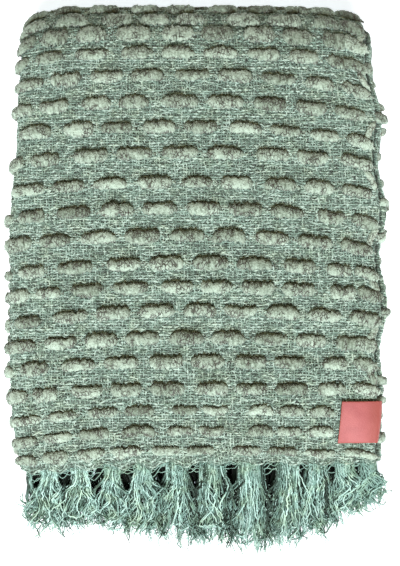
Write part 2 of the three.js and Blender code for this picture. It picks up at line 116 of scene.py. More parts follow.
def add_node(tree: bpy.types.NodeTree, kind: str, links: dict | None = None, **settings) -> bpy.types.Node:
    """Adds one node to a tree.

    Args:
        tree: The node tree.
        kind: Blender's name of the node type, after ShaderNode.
        links: For each input, by name or number, a node whose first output feeds it, a socket, or a value.
        settings: Properties of the node. ramp gives a colour ramp's stops as (place, hex colour).

    Returns:
        The new node.
    """
    node = tree.nodes.new("ShaderNode" + kind)
    stops = settings.pop("ramp", ())
    for name, value in settings.items():
        setattr(node, name, value)
    for place, (at, code) in enumerate(stops):
        elements = node.color_ramp.elements
        element = elements[place] if place < 2 else elements.new(at)
        element.position = at
        element.color = linear(code)
    for key, value in (links or {}).items():
        source = value.outputs[0] if isinstance(value, bpy.types.Node) else value
        if isinstance(source, bpy.types.NodeSocket):
            tree.links.new(source, node.inputs[key])
        else:
            node.inputs[key].default_value = source
    return node


@dataclass(frozen=True)
class Finish(ABC):
    """A finish, whose own nodes end in one Principled shader."""

    name: str

    @abstractmethod
    def sockets(self, add: AddNode) -> dict:
        """Adds the finish's own nodes.

        Args:
            add: Adds one node to the material's tree.

        Returns:
            What feeds each input of the shader.
        """

    def material(self) -> Material:
        """Makes the material.

        Returns:
            The finish's own nodes, its shader and the output.
        """
        material = bpy.data.materials.new(self.name)
        material.use_nodes = True
        material.node_tree.nodes.clear()
        add = partial(add_node, material.node_tree)
        add("OutputMaterial", {"Surface": add("BsdfPrincipled", self.sockets(add))})
        return material


@dataclass(frozen=True)
class GroundYarn(Finish):
    """Cotton and acrylic ground yarn, spun loose and slubby: matt, with paler and greyer lengths."""

    name: str = "cotton_acrylic_ground_yarn"
    # hidden: the darkest stop, painted shade for threads whose tint is lowered where shade falls.
    hidden: str = "2b352f"
    deep: str = "586c63"
    deep_at: float = 0.35
    middle: str = "829d92"
    middle_at: float = 0.68
    pale: str = "b8d0c7"
    warm: str = "fffbf3"
    warm_mm: float = 13.0
    warm_patch: Pair = (0.46, 0.66)
    fibre_mm: float = 1.3  # A bundle of fibres, because a single one would not show.
    fibre_tone: float = 0.55
    roughness: float = 0.92
    gloss: float = 0.5
    sheen: float = 0.15
    bump_mm: float = 0.25

    def sockets(self, add: AddNode) -> dict:
        """Colour from each thread's own tint and fibre noise, warmer in patches of dye, and a fibre bump.

        Args:
            add: Adds one node to the material's tree.

        Returns:
            What feeds each input of the shader.
        """
        place = add("TexCoord").outputs["Object"]
        tint = add("Attribute", attribute_name="tint").outputs["Fac"]
        fibre = add("TexNoise", {"Vector": place, "Scale": per_mm(self.fibre_mm), "Detail": 3.0})
        tone = add("Math", {0: fibre, 1: self.fibre_tone, 2: tint}, operation="MULTIPLY_ADD")
        yarn = add("ValToRGB", {"Fac": tone}, ramp=((0.0, self.hidden), (1.0, self.pale),
                                                    (self.deep_at, self.deep), (self.middle_at, self.middle)))
        patch = add("TexNoise", {"Vector": place, "Scale": per_mm(self.warm_mm), "Detail": 3.0})
        low, high = self.warm_patch
        warmed = add("MapRange", {"Value": patch, "From Min": low, "From Max": high})
        colour = add("Mix", {0: warmed, 6: yarn, 7: linear(self.warm)},
                     data_type="RGBA", blend_type="MULTIPLY").outputs[2]
        bump = add("Bump", {"Height": fibre, "Distance": self.bump_mm * MM})
        return {"Base Color": colour, "Roughness": self.roughness, "Specular IOR Level": self.gloss,
                "Sheen Weight": self.sheen, "Normal": bump}


@dataclass(frozen=True)
class ChenillePile(Finish):
    """Cut chenille pile: velvety and matt, crumbly, and here and there parted by cracks that are dark with
    painted shade.
    """

    name: str = "cut_chenille_pile"
    # root: the pile's darker roots, and painted shade underneath the puffs and on their side away from the
    # key light.
    root: str = "614a2d"
    # crack: painted shade in the cracks where the pile parts, also used for the darkest crumbs.
    crack: str = "403a2b"
    crack_at: float = 0.2
    deep: str = "738576"
    deep_at: float = 0.55
    pale: str = "b7cdbf"
    crumb_mm: float = 1.8
    crumb_tone: float = 0.55
    patch_mm: float = 8.0
    patch_tone: float = 0.3
    cracked_patch: Pair = (0.44, 0.6)
    tuft_mm: Pair = (2.6, 4.6)
    stray: float = 0.9
    stray_rate: float = 1.3
    crack_share: float = 0.12
    roughness: float = 0.96
    sheen: float = 0.2
    bump_mm: float = 1.6

    def sockets(self, add: AddNode) -> dict:
        """Colour by depth in the pile with painted shade underneath and on the far side, by each puff's tint,
        by patches and crumbs, and dark with painted shade in the cracks.

        Args:
            add: Adds one node to the material's tree.

        Returns:
            What feeds each input of the shader.
        """
        place = add("TexCoord").outputs["Object"]
        tint, depth_and_shade = (add("Attribute", attribute_name=name).outputs["Fac"] for name in ("tint", "depth_and_shade"))
        crumb = add("TexNoise", {"Vector": place, "Scale": per_mm(self.crumb_mm), "Detail": 4.0})
        patch = add("TexNoise", {"Vector": place, "Scale": per_mm(self.patch_mm), "Detail": 2.0})
        along, across = (per_mm(size) for size in self.tuft_mm)
        drawn = add("VectorMath", {0: place, 1: (along, across, across)}, operation="MULTIPLY")
        noise = add("TexNoise", {"Vector": drawn, "Scale": self.stray_rate, "Detail": 2.0}).outputs["Color"]
        bent = add("VectorMath", {0: noise, 1: (self.stray,) * 3, 2: drawn}, operation="MULTIPLY_ADD")
        cells = add("TexVoronoi", {"Vector": bent, "Scale": 1.0}, feature="DISTANCE_TO_EDGE")
        parted = add("MapRange", {"Value": cells, "From Max": self.crack_share, "To Min": 1.0, "To Max": 0.0})
        low, high = self.cracked_patch
        loose = add("MapRange", {"Value": patch, "From Min": low, "From Max": high})
        cracks = add("Math", {0: parted, 1: loose}, operation="MULTIPLY")
        patched = add("Math", {0: patch, 1: -self.patch_tone, 2: tint}, operation="MULTIPLY_ADD")
        tone = add("Math", {0: crumb, 1: self.crumb_tone, 2: patched}, operation="MULTIPLY_ADD")
        pile = add("ValToRGB", {"Fac": tone}, ramp=((self.crack_at, self.crack), (1.0, self.pale),
                                                    (self.deep_at, self.deep)))
        # Painted shade in the cracks of the pile.
        tufted = add("Mix", {0: cracks, 6: pile, 7: linear(self.crack)}, data_type="RGBA").outputs[2]
        # Darker pile roots, and painted shade underneath the puffs and on their far side.
        colour = add("Mix", {0: depth_and_shade, 6: linear(self.root), 7: tufted}, data_type="RGBA")
        height = add("Math", {0: crumb, 1: cracks}, operation="SUBTRACT")
        bump = add("Bump", {"Height": height, "Distance": self.bump_mm * MM})
        return {"Base Color": colour.outputs[2], "Roughness": self.roughness, "Sheen Weight": self.sheen,
                "Normal": bump}


@dataclass(frozen=True)
class FoldedCloth(Finish):
    """The woven cloth as a sheet: a loose plain weave of slubby ground yarn, with painted shade between the
    threads and under the ground yarns.
    """

    name: str = "plain_woven_cloth"
    # hole: painted shade, in the gaps between the threads and on the sheet under the ground yarns.
    hole: str = "46504a"
    hole_at: float = 0.36
    thread: str = "7d958a"
    thread_at: float = 0.62
    pale: str = "aac2b8"
    pale_at: float = 0.98
    thread_mm: float = 2.3
    thread_tone: float = 0.45
    stray_mm: float = 3.6
    stray: float = 2.4
    streak_mm: Pair = (14.0, 2.6)
    roughness: float = 0.95
    bump_mm: float = 1.0

    def sockets(self, add: AddNode) -> dict:
        """Threads as two crossed sine waves on the cloth's UV map, which noise bends, with streaks of tint.

        Args:
            add: Adds one node to the material's tree.

        Returns:
            What feeds each input of the shader.
        """
        uv = add("UVMap", uv_map="cloth")
        shade = add("Attribute", attribute_name="depth_and_shade").outputs["Fac"]
        noise = add("TexNoise", {"Vector": uv, "Scale": per_mm(self.stray_mm), "Detail": 3.0})
        bent = add("VectorMath", {0: noise.outputs["Color"], 1: (self.stray * MM,) * 3, 2: uv},
                   operation="MULTIPLY_ADD")
        split = add("SeparateXYZ", {"Vector": bent})
        rate = math.pi * per_mm(self.thread_mm)
        waves = []
        for axis in ("X", "Y"):
            turned_by = add("Math", {0: split.outputs[axis], 1: rate}, operation="MULTIPLY")
            wave = add("Math", {0: turned_by}, operation="SINE")
            waves.append(add("Math", {0: wave}, operation="ABSOLUTE"))
        height = add("Math", {0: waves[0], 1: waves[1]}, operation="MULTIPLY")
        along, across = (per_mm(size) for size in self.streak_mm)
        drawn = add("VectorMath", {0: bent, 1: (along, across, 0.0)}, operation="MULTIPLY")
        streak = add("TexNoise", {"Vector": drawn, "Scale": 1.0, "Detail": 4.0})
        tone = add("Math", {0: height, 1: self.thread_tone, 2: streak}, operation="MULTIPLY_ADD")
        woven = add("ValToRGB", {"Fac": tone}, ramp=((self.hole_at, self.hole), (self.pale_at, self.pale),
                                                     (self.thread_at, self.thread)))
        # Painted shade: under the ground yarns the sheet goes most of the way to the dark hole colour.
        colour = add("Mix", {0: shade, 6: linear(self.hole), 7: woven}, data_type="RGBA")
        bump = add("Bump", {"Height": tone, "Distance": self.bump_mm * MM})
        return {"Base Color": colour.outputs[2], "Roughness": self.roughness, "Normal": bump}


@dataclass(frozen=True)
class DyedLeather(Finish):
    """Thin dyed leather: a fine pebbled grain with a soft sheen, darker where it is cut, and with painted
    shade where it is bent.
    """

    name: str = "dyed_cowhide_leather"
    face: str = "a65558"
    pale: str = "b76668"
    # worn: the colour of the burnished cut edges, and of the painted shade at the bend.
    worn_and_shaded: str = "8e3d2b"
    grain_mm: float = 0.9  # The real grain is finer and would not show.
    cloud_mm: float = 11.0
    cloud: Pair = (0.3, 0.7)
    roughness: Pair = (0.47, 0.65)
    ior: float = 1.5
    bump_mm: float = 0.12

    def sockets(self, add: AddNode) -> dict:
        """Cloudy dye, mixed to the worn colour by the piece's own value: wear at the cut edges and painted
        shade at the bend, with a cell grain bump.

        Args:
            add: Adds one node to the material's tree.

        Returns:
            What feeds each input of the shader.
        """
        place = add("TexCoord").outputs["Object"]
        wear_and_shade = add("Attribute", attribute_name="wear_and_shade").outputs["Fac"]
        cloud = add("TexNoise", {"Vector": place, "Scale": per_mm(self.cloud_mm), "Detail": 4.0})
        dye = add("ValToRGB", {"Fac": cloud}, ramp=tuple(zip(self.cloud, (self.face, self.pale))))
        colour = add("Mix", {0: wear_and_shade, 6: dye, 7: linear(self.worn_and_shaded)}, data_type="RGBA")
        grain = add("TexVoronoi", {"Vector": place, "Scale": per_mm(self.grain_mm)})
        bump = add("Bump", {"Height": grain, "Distance": self.bump_mm * MM})
        low, high = self.roughness
        gloss = add("MapRange", {"Value": cloud, "To Min": low, "To Max": high})
        return {"Base Color": colour.outputs[2], "Roughness": gloss, "IOR": self.ior, "Normal": bump}


@dataclass(frozen=True)
class PaleFloor(Finish):
    """Matt white studio paper, with a faint mottle and a glow that is painted light."""

    name: str = "matt_white_paper"
    low: str = "f4f4f3"
    high: str = "fcfcfb"
    mottle_mm: float = 60.0
    mottle: Pair = (0.3, 0.7)
    roughness: float = 0.9
    # glow: painted light, an emission that washes out the shadows on the floor.
    glow: float = 0.85
    glow_colour: str = "e3f0fb"

    def sockets(self, add: AddNode) -> dict:
        """Two whites, mixed by a broad noise, with a glow of painted light that brightens the paper and the
        shadows on it and lights the throw from below.

        Args:
            add: Adds one node to the material's tree.

        Returns:
            What feeds each input of the shader.
        """
        place = add("TexCoord").outputs["Object"]
        mottle = add("TexNoise", {"Vector": place, "Scale": per_mm(self.mottle_mm)})
        paper = add("ValToRGB", {"Fac": mottle}, ramp=tuple(zip(self.mottle, (self.low, self.high))))
        return {"Base Color": paper, "Roughness": self.roughness,
                "Emission Color": linear(self.glow_colour), "Emission Strength": self.glow}


NO_QUADS = np.zeros((0, 4), int)
NO_TRIANGLES = np.zeros((0, 3), int)
# A sliver is a thin closed body of four corners: its tail, two sides and its tip.
SLIVER_FACES = np.array([[0, 1, 2], [3, 2, 1], [0, 3, 1], [0, 2, 3]])
SLIVER_ALONG = np.array([-1.0, 0.0, 0.0, 1.0])
SLIVER_ASIDE = np.array([0.0, -1.0, 1.0, 0.0])
SLIVER_TIP = np.array([0.0, 0.0, 0.0, 1.0])


def wall_quads(ids: Array) -> Array:
    """Quads from ring to ring of closed rings, whose vertex numbers have the shape (..., rings, sides)."""
    ahead = np.roll(ids, -1, axis=-1)
    return np.stack([ids[..., :-1, :], ahead[..., :-1, :], ahead[..., 1:, :], ids[..., 1:, :]], axis=-1)


@dataclass
class MeshParts:
    """Arrays of vertices, faces and vertex values that become one mesh object."""

    vertices: list[Array] = field(default_factory=list)
    quads: list[Array] = field(default_factory=list)
    triangles: list[Array] = field(default_factory=list)
    values: dict[str, list[Array]] = field(default_factory=dict)
    count: int = 0

    def add(self, vertices: Array, quads: Array, triangles: Array, values: dict[str, Array]) -> None:
        """Adds one lot of geometry.

        Args:
            vertices: Points in metres, of any shape that ends in three.
            quads: Faces of four of these vertices.
            triangles: Faces of three of these vertices.
            values: Named numbers, one for each vertex.
        """
        points = vertices.reshape(-1, 3)
        self.vertices.append(points)
        self.quads.append(quads.reshape(-1, 4) + self.count)
        self.triangles.append(triangles.reshape(-1, 3) + self.count)
        for name, value in values.items():
            self.values.setdefault(name, []).append(np.broadcast_to(value, vertices.shape[:-1]).ravel())
        self.count += len(points)

    def add_slivers(self, points: Array, values: dict[str, Array]) -> None:
        """Adds slivers, of points of shape (..., 4, 3) in metres, with their named numbers."""
        ids = np.arange(points.size // 3).reshape(-1, 4)
        self.add(points, NO_QUADS, ids[:, SLIVER_FACES], values)

    def add_tubes(self, rings: Array, values: dict[str, Array]) -> None:
        """Adds closed tubes: quads from ring to ring, and a fan of triangles over each end.

        Args:
            rings: Points of shape (tubes, rings, sides, 3), turning right-handed about the path.
            values: Named numbers that broadcast to (tubes, rings, sides).
        """
        tubes, steps, sides = rings.shape[:3]
        ids = np.arange(tubes * steps * sides).reshape(tubes, steps, sides)
        first, last = ids[:, 0], ids[:, -1]
        fan = np.arange(1, sides - 1)
        hub = np.repeat(first[:, :1], fan.size, axis=1)
        near = np.stack([hub, first[:, fan + 1], first[:, fan]], axis=-1)
        hub = np.repeat(last[:, :1], fan.size, axis=1)
        far = np.stack([hub, last[:, fan], last[:, fan + 1]], axis=-1)
        self.add(rings, wall_quads(ids), np.concatenate([near.reshape(-1, 3), far.reshape(-1, 3)]), values)

    def to_object(self, name: str, material: Material, slot: Slot, soft: bool = True) -> Piece:
        """Makes the mesh object, dressed and riding on the throw's one body.

        Args:
            name: The piece's name.
            material: Its finish.
            slot: The record's slot of that finish; not used.
            soft: Whether its faces are shaded smooth.

        Returns:
            The object, at the origin.
        """
        vertices = np.concatenate(self.vertices)
        quads, triangles = np.concatenate(self.quads), np.concatenate(self.triangles)
        corners = np.concatenate([quads.ravel(), triangles.ravel()]).astype(np.int32)
        starts = np.concatenate([np.arange(len(quads)) * 4, len(quads) * 4 + np.arange(len(triangles)) * 3])
        mesh = bpy.data.meshes.new(name)
        mesh.vertices.add(len(vertices))
        mesh.vertices.foreach_set("co", vertices.astype(np.float32).ravel())
        mesh.loops.add(len(corners))
        mesh.loops.foreach_set("vertex_index", corners)
        mesh.polygons.add(len(starts))
        mesh.polygons.foreach_set("loop_start", starts.astype(np.int32))
        for label, lots in self.values.items():
            value = np.concatenate(lots).astype(np.float32)
            mesh.attributes.new(label, "FLOAT", "POINT").data.foreach_set("value", value)
        mesh.update(calc_edges=True)
        if soft:
            mesh.shade_smooth()
        else:
            mesh.shade_flat()
        mesh.materials.append(material)
        made = bpy.data.objects.new(name, mesh)
        bpy.context.scene.collection.objects.link(made)
        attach(made, BODY)
        LOG.info("%s: %d vertices, %d triangles", name, len(vertices), 2 * len(quads) + len(triangles))
        return made


def share(value: Array, start: float, end: float) -> Array:
    """Share of the way from start to end, held between 0 and 1."""
    return np.clip((value - start) / (end - start), 0.0, 1.0)


def smooth(value: Array, start: float, end: float) -> Array:
    """Share of the way from start to end, eased at both: 3 s^2 - 2 s^3."""
    part = share(value, start, end)
    return part * part * (3.0 - 2.0 * part)


def fades(value: Array, start: float, end: float) -> Array:
    """One up to start, eased to nought at end."""
    return smooth(-value, -end, -start)


def turned(angle: Array, along: Array, aside: Array) -> tuple[Array, Array]:
    """Steps along and aside, turned by an angle in their plane."""
    return along * np.cos(angle) - aside * np.sin(angle), along * np.sin(angle) + aside * np.cos(angle)


def unit(vectors: Array) -> Array:
    """The vectors' directions, with a length of one."""
    return vectors / (np.linalg.norm(vectors, axis=-1, keepdims=True) + TINY)


def table(*columns: Array | float) -> Array:
    """A table of these columns, which broadcast to one length."""
    return np.stack(np.broadcast_arrays(*columns), axis=-1)


@dataclass(frozen=True)
class Wander:
    """Smooth random wander of threads: for each, a sum of sines with random phases and shares."""

    reach: float
    waves: tuple[float, ...]

    def along(self, rng: Rng, count: int, places: Array) -> Array:
        """How far the threads wander.

        Args:
            rng: Seeded random source.
            count: Number of threads.
            places: Distances along a thread, in the unit of the wavelengths.

        Returns:
            An array of shape (count, places).
        """
        lengths = np.array(self.waves)
        phase = rng.uniform(0.0, TURN, (count, 1, lengths.size))
        weight = rng.normal(0.0, 1.0, (count, 1, lengths.size)) / math.sqrt(lengths.size)
        return self.reach * np.sum(weight * np.sin(TURN * places[None, :, None] / lengths + phase), axis=2)


class Leg(ABC):
    """One leg of a folded section."""

    length: float

    @abstractmethod
    def at(self, s: Array) -> tuple[Array, Array, Array, Array]:
        """Place and normal at distances along the leg.

        Args:
            s: Distances from its start.

        Returns:
            Place a, place b, and the two parts of the showing face's normal.
        """


@dataclass(frozen=True)
class Run(Leg):
    """A level run. facing is +1 where the showing face is up."""

    start: float
    end: float
    level: float
    facing: float

    @property
    def length(self) -> float:
        """Length of the run."""
        return abs(self.end - self.start)

    def at(self, s: Array) -> tuple[Array, Array, Array, Array]:
        """Place and normal at distances along it: a straight line at one level."""
        a = self.start + math.copysign(1.0, self.end - self.start) * s
        return a, np.full_like(a, self.level), np.zeros_like(a), np.full_like(a, self.facing)


@dataclass(frozen=True)
class HalfTurn(Leg):
    """A half turn. facing is +1 where the showing face is outside the bend."""

    centre_a: float
    centre_b: float
    radius: float
    start: float
    way: float
    facing: float

    @property
    def length(self) -> float:
        """Length of the half circle."""
        return math.pi * self.radius

    def at(self, s: Array) -> tuple[Array, Array, Array, Array]:
        """Place and normal at distances along it: a circle about the centre.

        Args:
            s: Distances from its start.

        Returns:
            Place a, place b, and the two parts of the showing face's normal.
        """
        angle = self.start + self.way * s / self.radius
        ca, cb = np.cos(angle), np.sin(angle)
        a, b = self.centre_a + self.radius * ca, self.centre_b + self.radius * cb
        return a, b, self.facing * ca, self.facing * cb


@dataclass(frozen=True)
class FoldedSection:
    """Edge-on middle line of a ribbon folded in half twice: four runs joined by three half turns."""

    pitch: float
    half_thickness: float
    free_end: float
    inner_end: float
    far_fold: float
    near_fold: float
    nested_inset: float = 2.0

    def legs(self) -> tuple[Leg, ...]:
        """The legs from the free end of the top run to the inner end.

        The outer half turn spans three pitches and the two inner ones span one.

        Returns:
            Runs and half turns by turns.
        """
        wide, tight = 1.5 * self.pitch, 0.5 * self.pitch
        top, bottom = math.pi / 2, -math.pi / 2
        far = self.far_fold + wide + self.half_thickness
        nested = far + self.nested_inset
        near = self.near_fold - tight - self.half_thickness
        return (
            Run(self.free_end, far, wide, 1.0),
            HalfTurn(far, 0.0, wide, top, 1.0, 1.0),
            Run(far, near, -wide, -1.0),
            HalfTurn(near, -self.pitch, tight, bottom, 1.0, 1.0),
            Run(near, nested, -tight, 1.0),
            HalfTurn(nested, 0.0, tight, bottom, -1.0, -1.0),
            Run(nested, self.inner_end, tight, -1.0),
        )

    def starts(self) -> Array:
        """Distances along the section at which its legs start, and its whole length."""
        return np.concatenate([[0.0], np.cumsum([leg.length for leg in self.legs()])])

    def at(self, s: Array) -> tuple[Array, Array, Array, Array]:
        """Place and normal at distances along the section, from the leg that each falls on.

        Args:
            s: Distances, of any shape. The end runs go on straight past their free ends.

        Returns:
            Place a, place b, and the two parts of the showing face's normal.
        """
        legs, starts = self.legs(), self.starts()
        leg_of = np.clip(np.searchsorted(starts, s, side="right") - 1, 0, len(legs) - 1)
        found = tuple(np.zeros_like(s) for _ in range(4))
        for k, leg in enumerate(legs):
            here = leg_of == k
            for into, value in zip(found, leg.at(s[here] - starts[k])):
                into[here] = value
        return found

    def stations(self, on_runs: tuple[int, ...], on_turns: tuple[int, ...]) -> Array:
        """Grid stations along the section, evenly spaced on each leg.

        Args:
            on_runs: Numbers of steps on its runs.
            on_turns: Numbers of steps on its half turns.

        Returns:
            Distances along it, from end to end.
        """
        starts = self.starts()
        steps = [(on_runs, on_turns)[k % 2][k // 2] for k in range(len(starts) - 1)]
        parts = [np.linspace(starts[k], starts[k + 1], n, endpoint=False) for k, n in enumerate(steps)]
        return np.concatenate([*parts, starts[-1:]])


@dataclass(frozen=True)
class Settling:
    """How the soft stack settles: it sinks to its edges, draws in at corners and left, and waves at right."""

    end_sink: float = 0.3
    hem_sink: float = 0.25
    side_sink: float = 0.12
    sink_from_y: float = 40.0
    sink_from_x: float = 60.0
    reach_y: float = 205.0
    reach_x: float = 167.0
    end_narrowing: float = 0.055
    hem_narrowing: float = 0.03
    hem_narrows_from_y: float = 110.0
    hem_shift: float = 7.0
    left_draw_in: float = 8.0
    left_draw_in_from_x: float = 20.0
    left_draw_in_y: Pair = (-5.0, 80.0)
    corner_draw_in: float = 10.0
    corner_from_x: float = 110.0
    corner_from_y: float = 80.0
    left_hem_drop: float = 10.0
    left_hem_from_x: float = 40.0
    edge_wave: float = 3.5
    edge_wave_pitch: float = 82.0
    edge_wave_top_y: float = 100.0
    edge_wave_from_x: float = 90.0
    edge_wave_fades_y: Pair = (-150.0, -100.0)

    def moved(self, x: Array, y: Array, z: Array) -> Array:
        """Settled places: scaled heights and widths, and slides, by squared shares of the way out.

        Args:
            x: Places across the throw.
            y: Places along it.
            z: Heights.

        Returns:
            Points, of the arrays' common shape and three.
        """
        at_end = share(y, self.sink_from_y, self.reach_y) ** 2
        at_hem = share(-y, self.sink_from_y, self.reach_y) ** 2
        at_side = share(np.abs(x), self.sink_from_x, self.reach_x) ** 2
        near_hem = share(-y, self.hem_narrows_from_y, self.reach_y) ** 2
        height = 1.0 - self.end_sink * at_end - self.hem_sink * at_hem - self.side_sink * at_side
        width = 1.0 - self.end_narrowing * at_end - self.hem_narrowing * near_hem
        in_corner = share(np.abs(x), self.corner_from_x, self.reach_x) ** 2
        by_left = share(-x, self.left_hem_from_x, self.reach_x) ** 2
        slide = (self.corner_draw_in * in_corner * share(y, self.corner_from_y, self.reach_y)
                 + self.left_hem_drop * by_left * share(-y, self.corner_from_y, self.reach_y))
        drawn = share(-x, self.left_draw_in_from_x, self.reach_x) ** 2 * smooth(y, *self.left_draw_in_y)
        waved = share(x, self.edge_wave_from_x, self.reach_x) ** 2 * smooth(y, *self.edge_wave_fades_y)
        wave = np.cos(TURN * (y - self.edge_wave_top_y) / self.edge_wave_pitch)
        aside = self.hem_shift * near_hem + self.left_draw_in * drawn + self.edge_wave * waved * wave
        return np.stack([x * width + aside, y - slide, z * height], axis=-1)


@dataclass(frozen=True)
class Tassels:
    """Where the fringe gathers into tassels, how hard each pulls on the hem, and how it pinches."""

    x: tuple[float, ...] = (-146.0, -123.0, -97.0, -68.0, -43.0, -13.0, 17.0, 50.0, 82.0, 108.0, 130.0, 152.0)
    tightness: tuple[float, ...] = (0.75, 1.15, 1.35, 1.4, 1.25, 0.95, 0.6, 0.55, 0.65, 0.7, 0.5, 0.4)
    pinch: tuple[float, ...] = (0.8, 1.2, 1.4, 1.45, 1.3, 1.1, 0.85, 0.85, 1.0, 1.0, 0.75, 0.5)
    half_width: float = 8.0
    pull: float = 4.8
    slack: float = 0.45
    reach: float = 15.0

    def hem_pull(self, x: Array, v: Array) -> Array:
        """How far the cloth is pulled past its hem: bells at the tassels, less slack, fading inwards."""
        bells = np.exp(-((x[..., None] - np.array(self.x)) / self.half_width) ** 2) * np.array(self.tightness)
        return self.pull * (bells.sum(axis=-1) - self.slack) * fades(v, 0.0, self.reach)


@dataclass(frozen=True)
class PuffRow:
    """One chenille row: distance from the hem, sag of its ends, places of its puffs along X, extra width."""

    from_hem: float
    left_drop: float
    right_drop: float
    places: tuple[float, ...]
    plump: float = 0.0
    drop_at_x: float = 150.0

    def drop(self, x: Array) -> Array:
        """How far each of its ends sags at places along X, per square of the distance from the middle."""
        return np.where(x < 0.0, self.left_drop, self.right_drop) / self.drop_at_x**2

    def v_at(self, x: Array) -> Array:
        """Its distance from the hem at places along X: a parabola on each side."""
        return self.from_hem - self.drop(x) * x * x


PUFF_ROWS = (
    PuffRow(12, 3, 3, (-153, -125, -93, -62, -28, 2, 42, 73, 106, 142)),
    PuffRow(29, 5, 2, (-151, -120, -88, -50, -14, 13, 55, 80, 107)),
    PuffRow(47, 6, 4, (-145, -114, -79, -48, -9, 17, 56, 82, 108)),
    PuffRow(65, 4, 1, (-153, -127, -91, -58, -23, 15, 48, 82, 116, 149)),
    PuffRow(88, 6, 3, (-165, -136, -98, -62, -24, 11, 47, 80, 119, 148)),
    PuffRow(108, 7, 6, (-149, -113, -79, -44, -7, 28, 64, 98, 130, 150)),
    PuffRow(131, 11, 8, (-167, -141, -105, -69, -32, 4, 38, 74, 109, 143)),
    PuffRow(151, 8, 7, (-151, -124, -91, -54, -15, 18, 53, 87, 124, 148)),
    PuffRow(171, 9, 9, (-166, -138, -101, -60, -24, 13, 50, 88, 122, 148)),
    PuffRow(194, 7, 12, (-151, -118, -81, -44, -6, 29, 65, 101, 138)),
    PuffRow(217, 8, 12, (-166, -138, -102, -65, -29, 8, 43, 78, 115, 143)),
    PuffRow(239, 7, 9, (-142, -107, -71, -33, 3, 36, 73, 106, 137)),
    PuffRow(264, 8, 9, (-162, -129, -88, -50, -11, 27, 67, 101, 140)),
    PuffRow(286, 5, 13, (-139, -99, -65, -28, 7, 45, 79, 112, 143)),
    PuffRow(308, 6, 12, (-156, -122, -83, -50, -10, 29, 67, 102, 134)),
    PuffRow(331, 6, 13, (-147, -112, -74, -38, 1, 38, 75, 111, 142)),
    PuffRow(351, 4, 9, (-162, -129, -88, -47, -11, 26, 64, 99, 131, 152)),
    PuffRow(366, 3, 6, (-157, -125, -90, -51, -11, 24, 61, 95, 128, 149)),
    PuffRow(378, 2, 4, (-151, -110, -67, -32, 0, 48, 85, 122, 144)),
    PuffRow(394, 0, 2, (-151, -117, -81, -42, -9, 30, 65, 98, 122, 145), 0.1),
    PuffRow(408, 0, 0, (-136, -102, -66, -30, 6, 44, 80, 118, 146), -0.25),
    PuffRow(424, 0, 0, (-152, -118, -84, -48, -11, 26, 62, 99, 136)),
    PuffRow(440, 0, 0, (-140, -105, -70, -33, 5, 41, 78, 116, 144)),
)


@dataclass(frozen=True)
class FoldedThrow:
    """Form of the folded cloth: u across it from the showing selvage, v along it from the showing hem."""

    across: FoldedSection = FoldedSection(5.2, 1.3, 155.0, 151.0, -158.0, 162.0)
    along: FoldedSection = FoldedSection(20.8, 9.1, 200.0, 191.0, -197.0, 187.0)
    settling: Settling = Settling()
    tassels: Tassels = Tassels()
    half_cloth: float = 1.3
    middle_z: float = 40.3
    sway: float = 2.4
    sway_rate: float = 0.011
    fold_shows: Pair = (2.0, 12.0)
    fold_hides: Pair = (-2.0, 2.0)
    selvage_x: float = 155.0
    ridge: float = 0.9
    ridge_half: float = 3.4
    ridge_ends_u: Pair = (315.0, 335.0)
    swell: float = 0.5
    swell_waves: tuple = ((71.0, 53.0, 0.4), (43.0, -96.0, 2.1), (-118.0, 38.0, 4.0))
    swell_starts_u: Pair = (0.0, 25.0)
    swell_ends_u: Pair = (290.0, 330.0)
    swell_starts_v: Pair = (0.0, 20.0)
    swell_ends_v: Pair = (340.0, 400.0)

    def right_fold(self) -> Pair:
        """Places across the cloth between which its right fold shows past the selvage."""
        starts = self.across.starts()
        return float(starts[3]) + self.fold_shows[0], float(starts[4]) + self.fold_shows[1]

    def under_selvage(self) -> Pair:
        """Places across the cloth between which its right fold goes under the showing selvage."""
        start = float(self.across.starts()[4])
        return start + self.fold_hides[0], start + self.fold_hides[1]

    def swelling(self, u: Array, v: Array) -> Array:
        """Soft unevenness of the showing face: slanting sines that fade at its edges, and the ridges.

        Args:
            u: Distances across the cloth.
            v: Distances along it.

        Returns:
            How far the cloth rises.
        """
        waves = sum(np.sin(TURN * (u / wu + v / wv) + phase) for wu, wv, phase in self.swell_waves)
        fade = smooth(u, *self.swell_starts_u) * fades(u, *self.swell_ends_u)
        fade = fade * smooth(v, *self.swell_starts_v) * fades(v, *self.swell_ends_v)
        return self.swell * waves * fade + self.ridges(u, v)

    def ridges(self, u: Array, v: Array) -> Array:
        """Rise of the ground over the chenille yarn: a bell curve across each row of the showing face.

        Args:
            u: Distances across the cloth.
            v: Distances along it.

        Returns:
            How far the cloth rises.
        """
        x = self.selvage_x - u
        bells = sum(np.exp(-((v - row.v_at(x)) / self.ridge_half) ** 2) for row in PUFF_ROWS)
        return self.ridge * bells * fades(u, *self.ridge_ends_u)

    def point(self, u: Array, v: Array, offset: Array) -> Array:
        """Points of the cloth in metres: the section across it, carried along the section along it.

        Args:
            u: Distances across the cloth.
            v: Distances along it.
            offset: Distances from the middle of its thickness towards the showing face.

        Returns:
            Points, of the arrays' common shape and three.
        """
        u, v, offset = (np.array(part, float) for part in np.broadcast_arrays(u, v, offset))
        across_a, across_b, across_na, across_nb = self.across.at(u)
        along_a, along_b, along_na, along_nb = self.along.at(v - self.tassels.hem_pull(across_a, v))
        offset = offset + self.swelling(u, v)
        lift = across_b + offset * across_nb
        x = across_a + offset * across_na + self.sway * np.sin(self.sway_rate * v)
        y = -(along_a + lift * along_na)
        z = np.maximum(self.middle_z + along_b + lift * along_nb, 0.0)
        return self.settling.moved(x, y, z) * MM


